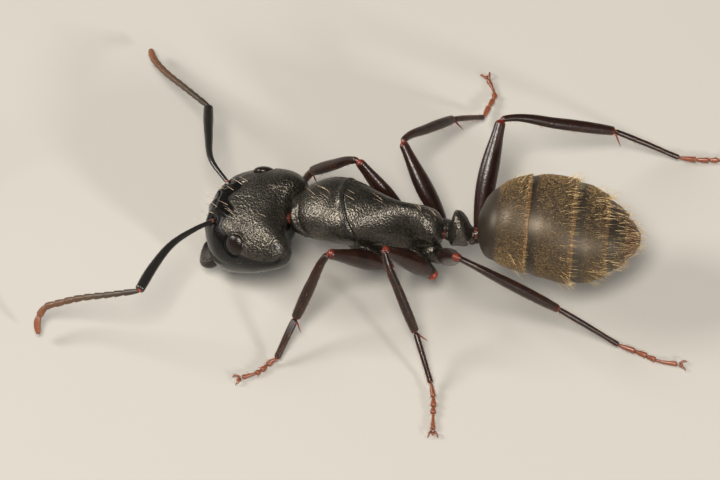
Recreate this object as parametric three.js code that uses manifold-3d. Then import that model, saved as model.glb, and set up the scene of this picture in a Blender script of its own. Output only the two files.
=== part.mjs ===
// A black carpenter ant worker, life size, standing on six tarsi with its head lowered and feelers spread.
// Millimetres. The ant faces -Y, its left side is +X, and the floor is z = 0.
import * as THREE from 'three';
import { mergeVertices } from 'three/addons/utils/BufferGeometryUtils.js';
import Module from 'manifold-3d';

const wasm = await Module();
wasm.setup();

// Driving dimensions.
const MIDLINE_FOOT = [0.65, 0.1, 0];         // floor point below the body's midline, from the middle of the whole
const CLEARANCE = 0.03;                      // space between neighbouring pieces
const BODY_ROUND = 22;                       // faces around a body part
const LIMB_ROUND = 8;                        // faces around a limb

const HEAD_CENTRE = [-0.03, -3.36, 1.63];
const HEAD_PITCH = 25;                       // degrees the mouth hangs below level
const HEAD_TURN = -12;                       // degrees, turned to the ant's right
const HEAD_WIDTH = 2.76;
const HEAD_LENGTH = 2.02;                    // from the notch of the nape to the front of the face
const FACE_DEPTH = 0.88;                     // from the middle plane up to the frons
const THROAT_DEPTH = 0.92;                   // from the middle plane down to the throat
const NAPE_LOBES = 0.4;                      // how far each rear lobe passes the notch between them
const LOBE_PEAK = 0.72;                      // where a lobe is longest, as a share of the half width

// Places in the head are out from its middle, back towards the nape, and up towards the brow.
const EYE_SIZE = [0.17, 0.21, 0.23];          // half sizes: out, along the head, up the cheek
const EYE_SEAT = [1.06, 0.12, 0.46];
const SOCKET = [0.5, -0.5, 0.74];            // where a feeler is hinged

const MANDIBLE = {
  spine: [[0.7, -0.72, -0.22], [0.68, -1.05, -0.36], [0.44, -1.3, -0.52], [0.12, -1.38, -0.62]],
  radii: [0.3, 0.28, 0.25, 0.2],
};

const FEELER_RADIUS = 0.25;
const FEELERS = {
  left: {
    scape: [[0.75, -4.59, 2.24], [1.25, -5.04, 2.34], [2.01, -5.42, 2.42], [2.73, -5.67, 2.47]],
    funiculus: [[2.6, -6.43, 2.0], [2.45, -7.09, 1.55], [2.37, -7.56, 1.18], [2.35, -7.98, 0.82],
      [2.54, -8.12, 0.54], [2.72, -8.09, 0.3]],
  },
  right: {
    scape: [[-1.37, -4.43, 2.02], [-2.19, -4.59, 1.85], [-3.15, -4.7, 1.66]],
    funiculus: [[-3.99, -5.4, 1.2], [-4.68, -5.94, 0.8], [-5.23, -6.26, 0.5], [-5.62, -6.38, 0.3]],
  },
};

// Body sections from front to back: y, side shift, half width, top, height of the widest point, bottom.
const MESOSOMA = [
  [-2.46, 0, 0.22, 2.22, 2.02, 1.82],
  [-2.36, 0, 0.38, 2.42, 2.05, 1.76],
  [-2.15, 0, 0.58, 2.66, 2.18, 1.72],
  [-1.8, 0, 0.72, 2.87, 2.32, 1.68],
  [-1.35, 0, 0.79, 2.99, 2.38, 1.58],
  [-0.9, 0, 0.73, 2.98, 2.36, 1.42],
  [-0.45, 0, 0.63, 2.91, 2.22, 1.25],
  [0, 0, 0.58, 2.8, 2.05, 1.15],
  [0.4, 0, 0.52, 2.71, 2.0, 1.18],
  [0.75, 0, 0.46, 2.57, 1.97, 1.3],
  [1.0, 0, 0.38, 2.3, 1.92, 1.42],
  [1.14, 0, 0.24, 2.0, 1.85, 1.55],
];
const PROMESONOTAL_SUTURE = -1.08;
const METANOTAL_GROOVE = 0.02;

const PETIOLE = [
  [1.17, 0, 0.16, 1.88, 1.72, 1.55],
  [1.28, 0, 0.29, 2.22, 1.8, 1.5],
  [1.4, 0, 0.37, 2.54, 2.05, 1.47],
  [1.47, 0, 0.37, 2.63, 2.1, 1.46],
  [1.56, 0, 0.36, 2.5, 2.0, 1.48],
  [1.7, 0, 0.3, 2.08, 1.8, 1.52],
  [1.88, 0, 0.2, 1.98, 1.82, 1.62],
];

const GASTER = [
  [1.92, 0, 0.26, 2.35, 2.12, 1.88],
  [2.06, -0.01, 0.62, 2.72, 2.15, 1.62],
  [2.4, -0.03, 0.94, 3.1, 2.25, 1.42],
  [3.0, -0.06, 1.17, 3.38, 2.3, 1.22],
  [3.55, -0.09, 1.25, 3.38, 2.22, 1.03],
  [4.12, -0.11, 1.27, 3.24, 2.04, 0.86],
  [4.6, -0.13, 1.14, 3.02, 1.95, 0.88],
  [5.0, -0.15, 0.92, 2.75, 1.9, 1.03],
  [5.35, -0.16, 0.64, 2.45, 1.86, 1.24],
  [5.58, -0.17, 0.38, 2.18, 1.83, 1.47],
  [5.72, -0.17, 0.14, 1.96, 1.82, 1.68],
];
const TERGITE_EDGES = [3.06, 4.16, 4.95, 5.4];   // rear margins of the first four gaster rings
const TERGITE_SLOPE = -10;                       // degrees the rings lean, tip down

// Legs. Each pair shares its lengths. Headings are degrees out from straight ahead, rises are degrees up.
const LEG_LENGTHS = {
  fore: { femur: 2.25, tibia: 2.0, basitarsus: 1.02, tarsus: 0.94 },
  mid: { femur: 2.35, tibia: 2.34, basitarsus: 1.23, tarsus: 1.22 },
  hind: { femur: 2.88, tibia: 3.18, basitarsus: 1.83, tarsus: 1.47 },
};
const LEG_RADII = { coxa: 0.27, femur: 0.27, tibia: 0.25, basitarsus: 0.25, tarsus: 0.25 };
const TARSUS_HEIGHT = 0.22;                      // middle of the tarsus above the floor
const LEGS = [
  { name: 'left_fore', side: 1, pair: 'fore', hip: [0.36, -1.0, 1.86], trochanter: [0.54, -0.07, 0.97],
    headings: [31, 46, 63, 34], rises: [45, -60, -35] },
  { name: 'right_fore', side: -1, pair: 'fore', hip: [-0.36, -0.85, 1.86], trochanter: [-0.65, 0.29, 0.92],
    headings: [24, 29, 20, 19], rises: [52, -49, -68] },
  { name: 'left_mid', side: 1, pair: 'mid', hip: [0.4, 0.3, 1.55], trochanter: [0.61, 0.96, 0.89],
    headings: [33, 133, 115, 97], rises: [56, -59, -30] },
  { name: 'right_mid', side: -1, pair: 'mid', hip: [-0.4, 0.45, 1.55], trochanter: [-0.64, 1.18, 0.91],
    headings: [51, 123, 134, 90], rises: [36, -33, -38] },
  { name: 'left_hind', side: 1, pair: 'hind', hip: [0.28, 0.75, 1.7], trochanter: [0.26, 1.15, 1.09],
    headings: [106, 185, 176, 167], rises: [56, -42, -38] },
  { name: 'right_hind', side: -1, pair: 'hind', hip: [-0.3, 0.95, 1.62], trochanter: [-0.43, 1.88, 0.93],
    headings: [99, 160, 179, 172], rises: [36, -28, -31] },
];

// Finishes.
const finish = (color, roughness) => ({ color, roughness, metalness: 0 });
const BLACK_SHELL = finish(0x171513, 0.42);
const GLOSSY_BLACK = finish(0x0e0c0b, 0.25);
const GASTER_SHELL = finish(0x3a3226, 0.55);
const RED_BROWN = finish(0x3b130b, 0.32);
const RUST = finish(0x6e1f10, 0.4);
const EYE_BLACK = finish(0x1c1a1a, 0.3);

// Moves every point of a geometry through a rule.
function reshape(geometry, rule) {
  const places = geometry.attributes.position;
  const point = new THREE.Vector3();
  for (let i = 0; i < places.count; i += 1) {
    point.fromBufferAttribute(places, i);
    rule(point);
    places.setXYZ(i, point.x, point.y, point.z);
  }
  return geometry;
}

function toSolid(geometry) {
  const bare = geometry.clone();
  bare.deleteAttribute('normal');
  bare.deleteAttribute('uv');
  const merged = mergeVertices(bare, 1e-5);
  const corners = merged.index.array;
  const faces = [];
  for (let i = 0; i < corners.length; i += 3) {
    const [a, b, c] = corners.slice(i, i + 3);
    if (a !== b && b !== c && c !== a) faces.push(a, b, c);
  }
  const solid = new wasm.Manifold(new wasm.Mesh({
    numProp: 3,
    vertProperties: merged.attributes.position.array,
    triVerts: Uint32Array.from(faces),
  }));
  if (solid.volume() <= 0) throw new Error('a shape is inside out');
  return solid;
}

function toGeometry(solid) {
  const mesh = solid.getMesh();
  const geometry = new THREE.BufferGeometry();
  geometry.setAttribute('position', new THREE.BufferAttribute(Float32Array.from(mesh.vertProperties), 3));
  geometry.setIndex(new THREE.BufferAttribute(Uint32Array.from(mesh.triVerts), 1));
  geometry.computeVertexNormals();
  return geometry;
}

// A large block that fills everything on the far side of a plane.
function beyond(point, direction) {
  const size = 30;
  const block = new THREE.BoxGeometry(size, size, size);
  block.translate(0, 0, size / 2);
  const turn = new THREE.Quaternion().setFromUnitVectors(new THREE.Vector3(0, 0, 1), direction);
  block.applyQuaternion(turn);
  block.translate(point.x, point.y, point.z);
  return toSolid(block);
}

// A closed body part through its sections, grown all round by a small amount.
function sectioned(sections, rings, grow = 0) {
  const outline = new THREE.CatmullRomCurve3(sections.map((s) => new THREE.Vector3(s[0], s[3], s[5])));
  const middle = new THREE.CatmullRomCurve3(sections.map((s) => new THREE.Vector3(s[1], s[2], s[4])));
  const ball = new THREE.SphereGeometry(1, BODY_ROUND, rings);
  return reshape(ball, (point) => {
    const along = Math.acos(THREE.MathUtils.clamp(-point.y, -1, 1)) / Math.PI;
    const off = Math.hypot(point.x, point.z);
    const [ux, uz] = off > 1e-6 ? [point.x / off, point.z / off] : [0, 0];
    const [y, top, bottom] = outline.getPoint(along).toArray();
    const [shift, half, waist] = middle.getPoint(along).toArray();
    const height = uz > 0 ? top - waist + grow : waist - bottom + grow;
    const lengthen = grow * (2 * along - 1);
    point.set(shift + ux * (half + grow), y + lengthen, waist + uz * height);
  });
}

// A round limb along a smooth line, with domed ends. radii run from its start to its end.
function limb(points, radii, rings, grow = 0) {
  const line = new THREE.CatmullRomCurve3(points.map((p) => new THREE.Vector3(...p)));
  const length = line.getLength();
  const frames = line.computeFrenetFrames(rings, false);
  const radiusAt = (t) => {
    const step = t * (radii.length - 1);
    const low = Math.min(Math.floor(step), radii.length - 2);
    return THREE.MathUtils.lerp(radii[low], radii[low + 1], step - low) + grow;
  };
  const dome = Math.SQRT1_2;
  const profile = [new THREE.Vector2(0, -radiusAt(0))];
  profile.push(new THREE.Vector2(radiusAt(0) * dome, -radiusAt(0) * dome));
  for (let i = 0; i <= rings; i += 1) {
    profile.push(new THREE.Vector2(radiusAt(i / rings), (length * i) / rings));
  }
  profile.push(new THREE.Vector2(radiusAt(1) * dome, length + radiusAt(1) * dome));
  profile.push(new THREE.Vector2(0, length + radiusAt(1)));
  return reshape(new THREE.LatheGeometry(profile, LIMB_ROUND), (point) => {
    const t = THREE.MathUtils.clamp(point.y / length, 0, 1);
    const ring = Math.round(t * rings);
    const past = point.y - t * length;
    const place = line.getPointAt(t)
      .addScaledVector(frames.tangents[ring], past)
      .addScaledVector(frames.normals[ring], point.x)
      .addScaledVector(frames.binormals[ring], -point.z);
    point.copy(place);
  });
}

// Turns a place in the head into a place in the ant.
const headFrame = new THREE.Matrix4()
  .makeTranslation(...HEAD_CENTRE)
  .multiply(new THREE.Matrix4().makeRotationZ(THREE.MathUtils.degToRad(HEAD_TURN)))
  .multiply(new THREE.Matrix4().makeRotationX(THREE.MathUtils.degToRad(HEAD_PITCH)));
const fromHead = (place) => new THREE.Vector3(...place).applyMatrix4(headFrame).toArray();

// The head is a broad heart: two rear lobes with a notch for the neck, cheeks that narrow to the mouth,
// and a domed frons that slopes down to the clypeus.
function headShape(grow = 0) {
  const rings = 20;
  const ball = new THREE.SphereGeometry(1, 28, rings);
  return reshape(ball, (point) => {
    const along = THREE.MathUtils.clamp(-point.y, -1, 1);
    const round = Math.hypot(point.x, point.z);
    const [ux, uz] = round > 1e-6 ? [point.x / round, point.z / round] : [0, 0];
    const fullness = (1 - Math.abs(along) ** 3.2) ** (1 / 2.6);
    const narrowing = 1 - 0.16 * Math.max(0, along + 0.25) ** 1.4;
    const half = (HEAD_WIDTH / 2) * fullness * narrowing;
    const brow = FACE_DEPTH * fullness * (1 - 0.28 * Math.max(0, along - 0.45));
    const throat = THROAT_DEPTH * fullness;
    const across = Math.sign(ux) * Math.abs(ux) ** 0.9 * half;
    const up = uz > 0 ? uz * brow : uz * throat;
    const share = Math.min(Math.abs(across) / (HEAD_WIDTH / 2) / LOBE_PEAK, 1);
    const rear = THREE.MathUtils.smoothstep(-along, -0.2, 1);
    const lobe = NAPE_LOBES * Math.sin((share * Math.PI) / 2) ** 3 * rear;
    const forward = along * (HEAD_LENGTH / 2 + grow) - lobe;
    point.set(across + ux * grow, -forward, up + uz * grow);
    point.applyMatrix4(headFrame);
  });
}

const ant = new THREE.Group();
ant.position.set(...MIDLINE_FOOT);

function addPiece(name, solid, look) {
  const mesh = new THREE.Mesh(toGeometry(solid), new THREE.MeshStandardMaterial(look));
  mesh.name = name;
  ant.add(mesh);
}

const whole = {
  head: toSolid(headShape()),
  headRoom: toSolid(headShape(CLEARANCE)),
  mesosoma: toSolid(sectioned(MESOSOMA, 24)),
  mesosomaRoom: toSolid(sectioned(MESOSOMA, 24, CLEARANCE)),
};

// Head, eyes, mandibles and feelers.
function eyeShape(side, grow = 0) {
  const ball = new THREE.SphereGeometry(1, 14, 10);
  const [out, back, up] = EYE_SEAT;
  const tilt = THREE.MathUtils.degToRad(32 * side);
  ball.scale(EYE_SIZE[0] + grow, EYE_SIZE[1] + grow, EYE_SIZE[2] + grow);
  ball.rotateY(-tilt);
  ball.translate(out * side, back, up);
  ball.applyMatrix4(headFrame);
  return ball;
}

const sides = [['left', 1], ['right', -1]];
const eyeRooms = sides.map(([, side]) => toSolid(eyeShape(side, CLEARANCE)));
addPiece('head', whole.head.subtract(eyeRooms[0]).subtract(eyeRooms[1]), BLACK_SHELL);

for (const [name, side] of sides) {
  addPiece(`${name}_eye`, toSolid(eyeShape(side)), EYE_BLACK);

  const jaw = MANDIBLE.spine.map(([x, y, z]) => fromHead([x * side, y, z]));
  const midline = beyond(new THREE.Vector3(...fromHead([side * 0.02, 0, 0])),
    new THREE.Vector3(-side, 0, 0).applyAxisAngle(new THREE.Vector3(0, 0, 1), THREE.MathUtils.degToRad(HEAD_TURN)));
  const jawSolid = toSolid(limb(jaw, MANDIBLE.radii, 6)).subtract(whole.headRoom).subtract(midline);
  addPiece(`${name}_mandible`, jawSolid, GLOSSY_BLACK);

  const feeler = FEELERS[name];
  const socket = fromHead([SOCKET[0] * side, SOCKET[1], SOCKET[2]]);
  const elbow = new THREE.Vector3(...feeler.scape.at(-1));
  const scapeLine = [socket, ...feeler.scape];
  const lashLine = [feeler.scape.at(-1), ...feeler.funiculus];
  const before = elbow.clone().sub(new THREE.Vector3(...feeler.scape.at(-2))).normalize();
  const after = new THREE.Vector3(...feeler.funiculus[0]).sub(elbow).normalize();
  const mitre = before.add(after).normalize();
  const elbowGap = mitre.clone().multiplyScalar(CLEARANCE / 2);
  const scape = toSolid(limb(scapeLine, [FEELER_RADIUS, FEELER_RADIUS], 6))
    .subtract(whole.headRoom)
    .subtract(beyond(elbow.clone().sub(elbowGap), mitre));
  addPiece(`${name}_scape`, scape, GLOSSY_BLACK);

  const lash = toSolid(limb(lashLine, [FEELER_RADIUS, FEELER_RADIUS], 14))
    .subtract(beyond(elbow.clone().add(elbowGap), mitre.clone().negate()));
  const lashCurve = new THREE.CatmullRomCurve3(lashLine.map((p) => new THREE.Vector3(...p)));
  const halfway = lashCurve.getPointAt(0.5);
  const course = lashCurve.getTangentAt(0.5);
  const lashGap = course.clone().multiplyScalar(CLEARANCE / 2);
  addPiece(`${name}_funiculus_base`, lash.subtract(beyond(halfway.clone().sub(lashGap), course)), RED_BROWN);
  addPiece(`${name}_funiculus_tip`, lash.subtract(beyond(halfway.clone().add(lashGap), course.clone().negate())),
    RUST);
}

// Cuts a body part across at stated places, with thin gaps, and names the slices.
function slice(solid, cuts, lean, names, look) {
  const along = new THREE.Vector3(0, 1, 0).applyAxisAngle(
    new THREE.Vector3(1, 0, 0), THREE.MathUtils.degToRad(lean));
  names.forEach((name, i) => {
    let piece = solid;
    if (i > 0) {
      const start = new THREE.Vector3(0, cuts[i - 1] + CLEARANCE / 2, 2);
      piece = piece.subtract(beyond(start, along.clone().negate()));
    }
    if (i < cuts.length) {
      const end = new THREE.Vector3(0, cuts[i] - CLEARANCE / 2, 2);
      piece = piece.subtract(beyond(end, along));
    }
    addPiece(name, piece, look);
  });
}

// Legs, and the hips they take out of the trunk's way.
function step(start, heading, rise, length, side) {
  const out = THREE.MathUtils.degToRad(heading);
  const up = THREE.MathUtils.degToRad(rise);
  return [
    start[0] + side * length * Math.cos(up) * Math.sin(out),
    start[1] - length * Math.cos(up) * Math.cos(out),
    start[2] + length * Math.sin(up),
  ];
}

function legPoints(leg) {
  const lengths = LEG_LENGTHS[leg.pair];
  const points = [leg.hip, leg.trochanter];
  ['femur', 'tibia', 'basitarsus'].forEach((part, i) => {
    points.push(step(points.at(-1), leg.headings[i], leg.rises[i], lengths[part], leg.side));
  });
  const sole = points.at(-1);
  sole[2] = TARSUS_HEIGHT;
  points.push(step(sole, leg.headings[3], 0, lengths.tarsus, leg.side));
  return points;
}

const trunk = whole.mesosoma.subtract(whole.headRoom);
const floor = beyond(new THREE.Vector3(0, 0, 0), new THREE.Vector3(0, 0, -1));
slice(trunk, [PROMESONOTAL_SUTURE, METANOTAL_GROOVE], 0, ['pronotum', 'mesonotum', 'propodeum'], BLACK_SHELL);
addPiece('petiole', toSolid(sectioned(PETIOLE, 12)), BLACK_SHELL);
slice(toSolid(sectioned(GASTER, 22)), TERGITE_EDGES, TERGITE_SLOPE,
  ['gaster_1', 'gaster_2', 'gaster_3', 'gaster_4', 'gaster_tip'], GASTER_SHELL);

for (const leg of LEGS) {
  const joints = legPoints(leg).map((p) => new THREE.Vector3(...p));
  const parts = ['coxa', 'femur', 'tibia', 'basitarsus', 'tarsus'];
  const looks = [BLACK_SHELL, RED_BROWN, RED_BROWN, RUST, RUST];
  const courses = parts.map((_, i) => joints[i + 1].clone().sub(joints[i]).normalize());
  parts.forEach((part, i) => {
    const ends = [joints[i].toArray(), joints[i + 1].toArray()];
    let piece = toSolid(limb(ends, [LEG_RADII[part], LEG_RADII[part]], 2));
    if (i > 0) {
      const mitre = courses[i - 1].clone().add(courses[i]).normalize();
      const start = joints[i].clone().addScaledVector(mitre, CLEARANCE / 2);
      piece = piece.subtract(beyond(start, mitre.negate()));
    }
    if (i < parts.length - 1) {
      const mitre = courses[i].clone().add(courses[i + 1]).normalize();
      const end = joints[i + 1].clone().addScaledVector(mitre, -CLEARANCE / 2);
      piece = piece.subtract(beyond(end, mitre));
    }
    if (part === 'coxa') piece = piece.subtract(whole.mesosomaRoom);
    if (part === 'tarsus' || part === 'basitarsus') piece = piece.subtract(floor);
    addPiece(`${leg.name}_${part}`, piece, looks[i]);
  });
}

export default ant;
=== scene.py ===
# A black carpenter ant worker, life size, as a still museum model on a plain pale floor.
# The ant faces -Y with its left side to +X. Body sizes are in millimetres from the floor point below its
# middle, and in_row turns them into metres in the part's own frame.
import math

import bpy
import numpy as np
from mathutils import Matrix, Vector


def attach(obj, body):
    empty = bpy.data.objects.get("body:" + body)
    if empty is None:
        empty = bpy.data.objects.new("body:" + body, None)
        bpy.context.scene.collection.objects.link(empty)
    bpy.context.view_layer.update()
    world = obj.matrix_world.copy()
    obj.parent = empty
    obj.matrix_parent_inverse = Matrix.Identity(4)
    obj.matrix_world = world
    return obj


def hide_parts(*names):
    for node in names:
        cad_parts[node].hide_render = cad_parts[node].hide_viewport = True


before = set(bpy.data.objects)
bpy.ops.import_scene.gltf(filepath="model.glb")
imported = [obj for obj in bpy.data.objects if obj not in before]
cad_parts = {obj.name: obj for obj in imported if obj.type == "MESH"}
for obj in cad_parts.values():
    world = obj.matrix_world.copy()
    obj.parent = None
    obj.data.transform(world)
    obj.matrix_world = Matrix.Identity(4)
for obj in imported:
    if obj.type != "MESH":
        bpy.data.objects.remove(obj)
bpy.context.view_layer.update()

# --- Stage -------------------------------------------------------------------------------------------------
# A plain pale floor, a soft key light high on the ant's left, one before its head, a small one behind its
# left shoulder, and a camera high on its left side.
FLOOR_HALF, FLOOR_GRAIN, FLOOR_ROUGHNESS = 1.0, 60.0, 0.85
FLOOR_GREYS = (0.314, 0.3, 0.277, 1), (0.334, 0.32, 0.297, 1)
CAMERA_AZIMUTH, CAMERA_ELEVATION = 95.3, 56.0
CAMERA_DISTANCE = 0.15
CAMERA_LENS, CAMERA_SENSOR, CAMERA_NEAREST = 322.5, 36.0, 0.01
CAMERA_TARGET = Vector((0.000975, -0.000687, 0.001681))
LIGHTS = {
    # name: direction it comes from, distance, width, power, colour
    "key": ((0.42, -0.06, 0.9), 0.17, 0.06, 0.42, (1.0, 0.945, 0.86)),
    "front": ((-0.06, -0.8, 0.57), 0.2, 0.07, 0.4, (1.0, 0.96, 0.9)),
    "shoulder": ((0.6, 0.7, 0.36), 0.2, 0.026, 0.3, (1.0, 0.97, 0.92)),
}
SKY_COLOUR, SKY_STRENGTH = (0.86, 0.92, 1.0, 1.0), 0.1


class Value:
    """A number socket of a material, so that sums on it are written as plain expressions."""

    def __init__(self, paint, socket):
        self.paint, self.socket = paint, socket

    def __add__(self, other):
        return self.paint.maths("ADD", self, other)

    def __radd__(self, other):
        return self.paint.maths("ADD", other, self)

    def __sub__(self, other):
        return self.paint.maths("SUBTRACT", self, other)

    def __rsub__(self, other):
        return self.paint.maths("SUBTRACT", other, self)

    def __mul__(self, other):
        return self.paint.maths("MULTIPLY", self, other)

    def __rmul__(self, other):
        return self.paint.maths("MULTIPLY", other, self)


def add_node(tree, kind, settings=None, sockets=None):
    """Adds a node to a tree: its settings first, then the values or links of its sockets."""
    made = tree.nodes.new(kind)
    for key, setting in (settings or {}).items():
        if key == "stops":
            ramp = made.color_ramp.elements
            while len(ramp) < len(setting):
                ramp.new(0.5)
            for stop, (position, colour) in zip(ramp, setting):
                stop.position = position
                stop.color = (*colour, 1.0)
        else:
            setattr(made, key, setting)
    for key, value in (sockets or {}).items():
        value = value.socket if isinstance(value, Value) else value
        if isinstance(value, bpy.types.NodeSocket):
            tree.links.new(value, made.inputs[key])
        else:
            made.inputs[key].default_value = value
    return made


class Paint:
    """A material under construction."""

    def __init__(self, name):
        self.material = bpy.data.materials.new(name)
        self.material.use_nodes = True
        self.material.node_tree.nodes.clear()

    def node(self, kind, settings=None, sockets=None):
        return add_node(self.material.node_tree, kind, settings, sockets)

    def maths(self, operation, first, second):
        made = self.node("ShaderNodeMath", {"operation": operation}, {0: first, 1: second})
        return Value(self, made.outputs[0])

    def between(self, value, low, high):
        """0 below low, 1 above high, and smooth between."""
        made = self.node("ShaderNodeMapRange", {"interpolation_type": "SMOOTHSTEP"},
                         {"Value": value, "From Min": low, "From Max": high})
        return Value(self, made.outputs[0])

    def blend(self, share, first, second):
        """A colour that goes from first to second as share goes from 0 to 1."""
        made = self.node("ShaderNodeMix", {"data_type": "RGBA"}, {0: share, 6: first, 7: second})
        return made.outputs[2]

    def place(self):
        return self.node("ShaderNodeTexCoord").outputs["Object"]

    def map_axes(self):
        """The piece's own map: round the piece, and along it."""
        split = self.node("ShaderNodeSeparateXYZ", None,
                          {0: self.node("ShaderNodeUVMap", {"uv_map": "Shape"}).outputs[0]})
        return Value(self, split.outputs[0]), Value(self, split.outputs[1])

    def noise(self, scale, detail=3.0, roughness=0.5):
        made = self.node("ShaderNodeTexNoise", None, {
            "Vector": self.place(), "Scale": scale, "Detail": detail, "Roughness": roughness})
        return Value(self, made.outputs[0])

    def cells(self, scale, feature="F1"):
        sockets = {"Vector": self.place(), "Scale": scale}
        made = self.node("ShaderNodeTexVoronoi", {"feature": feature}, sockets)
        return Value(self, made.outputs["Distance"])

    def bump(self, height, distance):
        return self.node("ShaderNodeBump", None, {"Height": height, "Distance": distance}).outputs[0]

    def finish(self, **sockets):
        """Ends the material in one surface shader and returns it."""
        shader = self.node("ShaderNodeBsdfPrincipled", None,
                           {key.replace("_", " "): value for key, value in sockets.items()})
        self.node("ShaderNodeOutputMaterial", None, {"Surface": shader.outputs[0]})
        return self.material


def put(name, data):
    """Adds an object to the scene."""
    thing = bpy.data.objects.new(name, data)
    bpy.context.scene.collection.objects.link(thing)
    return thing


floor_paint = Paint("floor_paint")
floor_look = floor_paint.finish(
    Base_Color=floor_paint.blend(floor_paint.noise(FLOOR_GRAIN), *FLOOR_GREYS), Roughness=FLOOR_ROUGHNESS)
floor_mesh = bpy.data.meshes.new("floor")
corners = [(-1, -1), (1, -1), (1, 1), (-1, 1)]
floor_mesh.from_pydata([(x * FLOOR_HALF, y * FLOOR_HALF, 0.0) for x, y in corners], [], [(0, 1, 2, 3)])
floor_mesh.materials.append(floor_look)
floor = put("floor", floor_mesh)

for name, (direction, distance, width, power, colour) in LIGHTS.items():
    lamp = bpy.data.lights.new(name, "AREA")
    lamp.shape = "DISK"
    lamp.size = width
    lamp.energy = power
    lamp.color = colour
    light = put(name, lamp)
    toward = Vector(direction).normalized()
    light.location = CAMERA_TARGET + toward * distance
    light.rotation_euler = toward.to_track_quat("Z", "Y").to_euler()

sky = bpy.data.worlds.new("sky")
sky.use_nodes = True
sky.node_tree.nodes["Background"].inputs[0].default_value = SKY_COLOUR
sky.node_tree.nodes["Background"].inputs[1].default_value = SKY_STRENGTH
bpy.context.scene.world = sky

azimuth, elevation = math.radians(CAMERA_AZIMUTH), math.radians(CAMERA_ELEVATION)
back = Vector((math.sin(azimuth) * math.cos(elevation), -math.cos(azimuth) * math.cos(elevation),
               math.sin(elevation)))
right = Vector((math.cos(azimuth), math.sin(azimuth), 0.0))
lens = bpy.data.cameras.new("camera")
lens.lens = CAMERA_LENS
lens.sensor_width = CAMERA_SENSOR
lens.clip_start = CAMERA_NEAREST
camera = put("camera", lens)
turn = Matrix((right, back.cross(right), back)).transposed()
camera.matrix_world = Matrix.Translation(CAMERA_TARGET + back * CAMERA_DISTANCE) @ turn.to_4x4()
bpy.context.scene.camera = camera
bpy.context.scene.view_settings.view_transform = "Standard"

# --- Head capsule ------------------------------------------------------------------------------------------
# One hard capsule of black, finely netted shell: a broad heart with two rear lobes, a raised clypeus with a
# keel over the mouth, and a ridge beside each feeler's pit. It is a grid of rings, carved along its seams.
# Millimetres to metres, and the floor point below the ant's middle in the part's frame, in millimetres.
MM = 0.001
MIDLINE_FOOT = np.array((0.65, 0.1, 0.0))
HEAD_CENTRE = np.array((-0.03, -3.36, 1.63))
HEAD_PITCH, HEAD_TURN = 25.0, -12.0
HEAD_WIDTH, HEAD_LENGTH = 2.76, 2.02
FACE_DEPTH, THROAT_DEPTH = 0.88, 0.92
NAPE_LOBES, LOBE_PEAK = 0.4, 0.72
HEAD_INSET = 0.012
HEAD_ROWS, HEAD_ROUND = 210, 260
POLE_GAP = 0.03
# How blunt the head's ends are above and at the jowls, and how full its rings are.
END_BLUNTNESS, RING_FULLNESS = (3.2, 5.6), 2.6
FACE_NARROWING, BROW_FALL = 0.16, 0.28
EYE_SEAT = np.array((1.08, 0.18, 0.45))
EYE_SIZE = np.array((0.132, 0.255, 0.275))
EYE_TILT = math.radians(32.0)
# Groove round the eye and hollow under it: place and width as shares of the eye's size, and depths.
GROOVE_PLACE, GROOVE_WIDTH, GROOVE_DEPTH, HOLLOW_DEPTH = 1.06, 0.12, 0.03, 0.06
SOCKET = np.array((0.56, -0.5, 0.71))
# Seams and ridges on the face, as out and back from the head's middle, then width and height.
FACE_LINES = [
    ([(0.66, -0.98), (0.56, -0.8), (0.42, -0.66), (0.22, -0.56), (0.0, -0.53)], 0.028, -0.03),
    ([(0.33, -0.72), (0.3, -0.52), (0.36, -0.3), (0.5, -0.08), (0.56, 0.16)], 0.05, 0.035),
    ([(0.0, -0.58), (0.0, -0.8), (0.0, -1.0)], 0.07, 0.035),
    ([(0.0, -0.46), (0.0, -0.1), (0.0, 0.2)], 0.018, -0.014),
    ([(0.3, -0.66), (0.62, -1.0)], 0.2, 0.02),
]
THROAT_LINES = [
    ([(0.0, -0.5), (0.0, 0.2), (0.0, 0.75)], 0.02, -0.025),
    ([(0.2, -0.55), (0.55, -0.7), (0.85, -0.72)], 0.03, -0.03),
    ([(0.12, -0.9), (0.14, -0.6), (0.0, -0.48)], 0.03, -0.05),
    ([(0.16, 0.55), (0.25, 0.7), (0.2, 0.85)], 0.04, 0.03),
]
FACE_PITS = [((0.56, -0.5), 0.115, -0.11), ((0.0, 0.33), 0.03, -0.035), ((0.47, -0.68), 0.03, -0.04)]

pitch, swing = math.radians(HEAD_PITCH), math.radians(HEAD_TURN)
head_turn = np.array(Matrix.Rotation(swing, 3, "Z") @ Matrix.Rotation(pitch, 3, "X"))


def from_head(places):
    """Places in the head, out to the ant's left, back and up, as places in the ant."""
    return np.asarray(places, float) @ head_turn.T + HEAD_CENTRE


def in_row(places):
    return (np.asarray(places, float) + MIDLINE_FOOT) * MM


def on_side(places, mirror):
    """Places on the left side, as they are for mirror 1 and moved to the right side for mirror -1."""
    return np.asarray(places, float) * (mirror, 1, 1)


def unit(vectors):
    return vectors / np.maximum(np.linalg.norm(vectors, axis=-1, keepdims=True), 1e-12)


def full_turn(count):
    return np.linspace(0, 2 * math.pi, count, endpoint=False)


def ring_angles(rows, around):
    """Angles of a ball's grid, from pole to pole and round each ring."""
    return np.meshgrid(np.linspace(POLE_GAP, math.pi - POLE_GAP, rows), full_turn(around), indexing="ij")


def nearest(places, targets):
    """The number of the place that is nearest to each target."""
    return [int(np.argmin(np.sum((places - target) ** 2, axis=1))) for target in targets]


def smooth(value, low, high):
    share = np.clip((np.asarray(value, float) - low) / (high - low), 0.0, 1.0)
    return share * share * (3.0 - 2.0 * share)


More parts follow.
